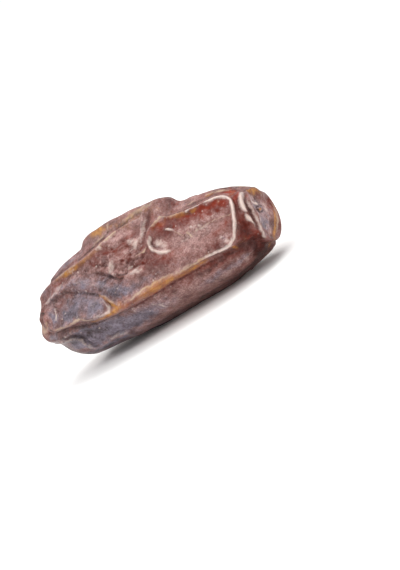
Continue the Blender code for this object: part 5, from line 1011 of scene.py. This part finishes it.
    # sparse specks of dried sugar, one in a cell of 1.1 mm, and darker mottling, stronger to the left
    cells = add(tree, "ShaderNodeTexVoronoi", {"Vector": place, "Scale": 1 / (1.1 * MM)}, out="Distance")
    chosen = add(tree, "ShaderNodeSeparateColor", {"Color": cells.node.outputs["Color"]})
    chosen = add(tree, "ShaderNodeMapRange", {
        "Value": chosen, "From Min": 0.6, "From Max": 0.95, "To Max": 0.5})
    speck = add(tree, "ShaderNodeMapRange", {"Value": cells, "From Min": 0.2, "From Max": 0.08})
    speck = add(tree, "ShaderNodeMath", {0: speck, 1: chosen}, operation="MULTIPLY")
    colder = add(tree, "ShaderNodeMapRange", {"Value": marks["blue"], "To Min": 0.85, "To Max": 1.6})
    mottle = add(tree, "ShaderNodeMath", {0: uneven["mottle"], 1: colder}, operation="MULTIPLY")

    # its tones, each between two colours
    tones = {}
    for name, between, one, other in (
            ("flesh", uneven["flesh"], "#451911", "#6c2f22"),
            ("cold flesh", uneven["flesh"], "#241615", "#452f2e"),
            ("raw flesh", uneven["flesh"], "#541a11", "#7a2c1b"),
            ("bloom_and_sheen", marks["blue"], "#b08c87", "#847985"),
            ("mottle", marks["blue"], "#34140f", "#2b2023"),
            ("shade", marks["red"], "#2a1510", "#3c100a"),
            ("amber", uneven["gold"], "#7e481c", "#b97f36"),
            ("raw amber", uneven["flesh"], "#7a3a1c", "#a2603c")):
        tones[name] = add(tree, "ShaderNodeMix", {
            0: between, 6: linear(one), 7: linear(other)}, out=2, data_type="RGBA")
    amber = add(tree, "ShaderNodeMix", {
        0: marks["red"], 6: tones["amber"], 7: tones["raw amber"]}, out=2, data_type="RGBA")

    # laid one over the other, each by its strength: among them painted shade from the dark marks and creases,
    # and painted highlight and sheen from the pale and tan marks and the bloom
    colour = tones["flesh"]
    for strength, coat in (
            (marks["blue"], tones["cold flesh"]), (marks["red"], tones["raw flesh"]),
            (marks["glow"], linear("#8c2808")), (bloom_and_sheen_cover, tones["bloom_and_sheen"]), (speck, linear("#c4aca4")),
            (mottle, tones["mottle"]), (marks["dark"], tones["shade"]), (marks["tan_and_highlight"], linear("#b59a84")),
            (marks["amber"], amber), (marks["pale_and_highlight"], linear("#d0bcb3")),
            (marks["crease"], linear("#2a1614"))):
        colour = add(tree, "ShaderNodeMix", {0: strength, 6: colour, 7: coat}, out=2, data_type="RGBA")
    tree.links.new(colour, surface.inputs["Base Color"])

    # matt where the bloom is thick, with a clear gloss on crests, and light that sinks a little into it
    matt = add(tree, "ShaderNodeMapRange", {"Value": bloom_and_sheen_cover, "To Min": 0.3, "To Max": 0.5})
    tree.links.new(matt, surface.inputs["Roughness"])
    crest = add(tree, "ShaderNodeAttribute", out="Fac", attribute_name="shine")
    gloss = add(tree, "ShaderNodeMapRange", {"Value": crest, "To Min": 0.04, "To Max": 0.5})
    tree.links.new(gloss, surface.inputs["Coat Weight"])
    surface.inputs["Coat Roughness"].default_value = 0.2
    surface.inputs["IOR"].default_value = 1.42
    surface.inputs["Specular IOR Level"].default_value = 0.2
    surface.inputs["Subsurface Weight"].default_value = 0.1
    surface.inputs["Subsurface Radius"].default_value = (1.0, 0.35, 0.2)
    surface.inputs["Subsurface Scale"].default_value = 0.7 * MM
    bump = add(tree, "ShaderNodeBump", {"Height": noises["cloud"], "Strength": 0.8, "Distance": 0.35 * MM})
    tree.links.new(bump, surface.inputs["Normal"])
    return material


date.data.materials.append(fruit_skin())
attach(date, "root")
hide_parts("date")

# The floor: one wide plain sheet of white card, level with the fruit's underside. It is matt, so that it
# shows only the fruit's soft shadow.
FLOOR_HALF = 3.0
floor_mesh = bpy.data.meshes.new("floor")
corners = [(-FLOOR_HALF, -FLOOR_HALF, 0), (FLOOR_HALF, -FLOOR_HALF, 0),
           (FLOOR_HALF, FLOOR_HALF, 0), (-FLOOR_HALF, FLOOR_HALF, 0)]
floor_mesh.from_pydata(corners, [], [(0, 1, 2, 3)])
floor = bpy.data.objects.new("floor", floor_mesh)
bpy.context.scene.collection.objects.link(floor)
card = bpy.data.materials.new("white card")
card.use_nodes = True
card_surface = card.node_tree.nodes["Principled BSDF"]
card_surface.inputs["Base Color"].default_value = linear("#f7f7f6")
card_surface.inputs["Roughness"].default_value = 0.9
floor_mesh.materials.append(card)

# The camera: where the photograph's view of the fruit was worked out for the marks, with a long lens and no
# shift. The fruit's middle stands above the part's origin.
camera_data = bpy.data.cameras.new("camera")
camera_data.lens = LENS
camera_data.sensor_fit = "AUTO"
camera_data.sensor_width = SENSOR
camera_data.clip_start = 0.01
camera = bpy.data.objects.new("camera", camera_data)
turned = Matrix([right, up, back]).transposed()
camera.matrix_world = Matrix.Translation(Vector((eye - CENTRE) * MM)) @ turned.to_4x4()
bpy.context.scene.collection.objects.link(camera)
bpy.context.scene.camera = camera


# The light: one broad soft lamp above the picture, a weaker one at the left and a small one in front, in a
# white room that is brighter overhead.
def soft_lamp(name, towards, away, size, power):
    """A round lamp, away metres from the fruit in the direction towards, facing it."""
    data = bpy.data.lights.new(name, "AREA")
    data.shape = "DISK"
    data.size = size
    data.energy = power
    lamp = bpy.data.objects.new(name, data)
    way = Vector(towards).normalized()
    lamp.location = way * away
    lamp.rotation_euler = way.to_track_quat("Z", "Y").to_euler()
    bpy.context.scene.collection.objects.link(lamp)


soft_lamp("top lamp", up + back * 0.1 - right * 0.2, 0.7, 0.6, 2.4)
soft_lamp("left lamp", -right + back * 0.2 + up * 0.2, 0.7, 0.4, 1.0)
soft_lamp("front lamp", up * 0.6 + back * 0.8 - right * 0.15, 0.7, 0.2, 0.35)
room = bpy.data.worlds.new("white room")
room.use_nodes = True
sky = room.node_tree
way = add(sky, "ShaderNodeTexCoord", out="Generated")
height = add(sky, "ShaderNodeSeparateXYZ", {"Vector": way}, out="Z")
brightness = add(sky, "ShaderNodeMapRange", {"Value": height, "To Min": 0.3, "To Max": 1.5})
sky.links.new(brightness, sky.nodes["Background"].inputs["Strength"])
sky.nodes["Background"].inputs["Color"].default_value = (1, 1, 1, 1)
bpy.context.scene.world = room
bpy.context.scene.view_settings.view_transform = "Standard"
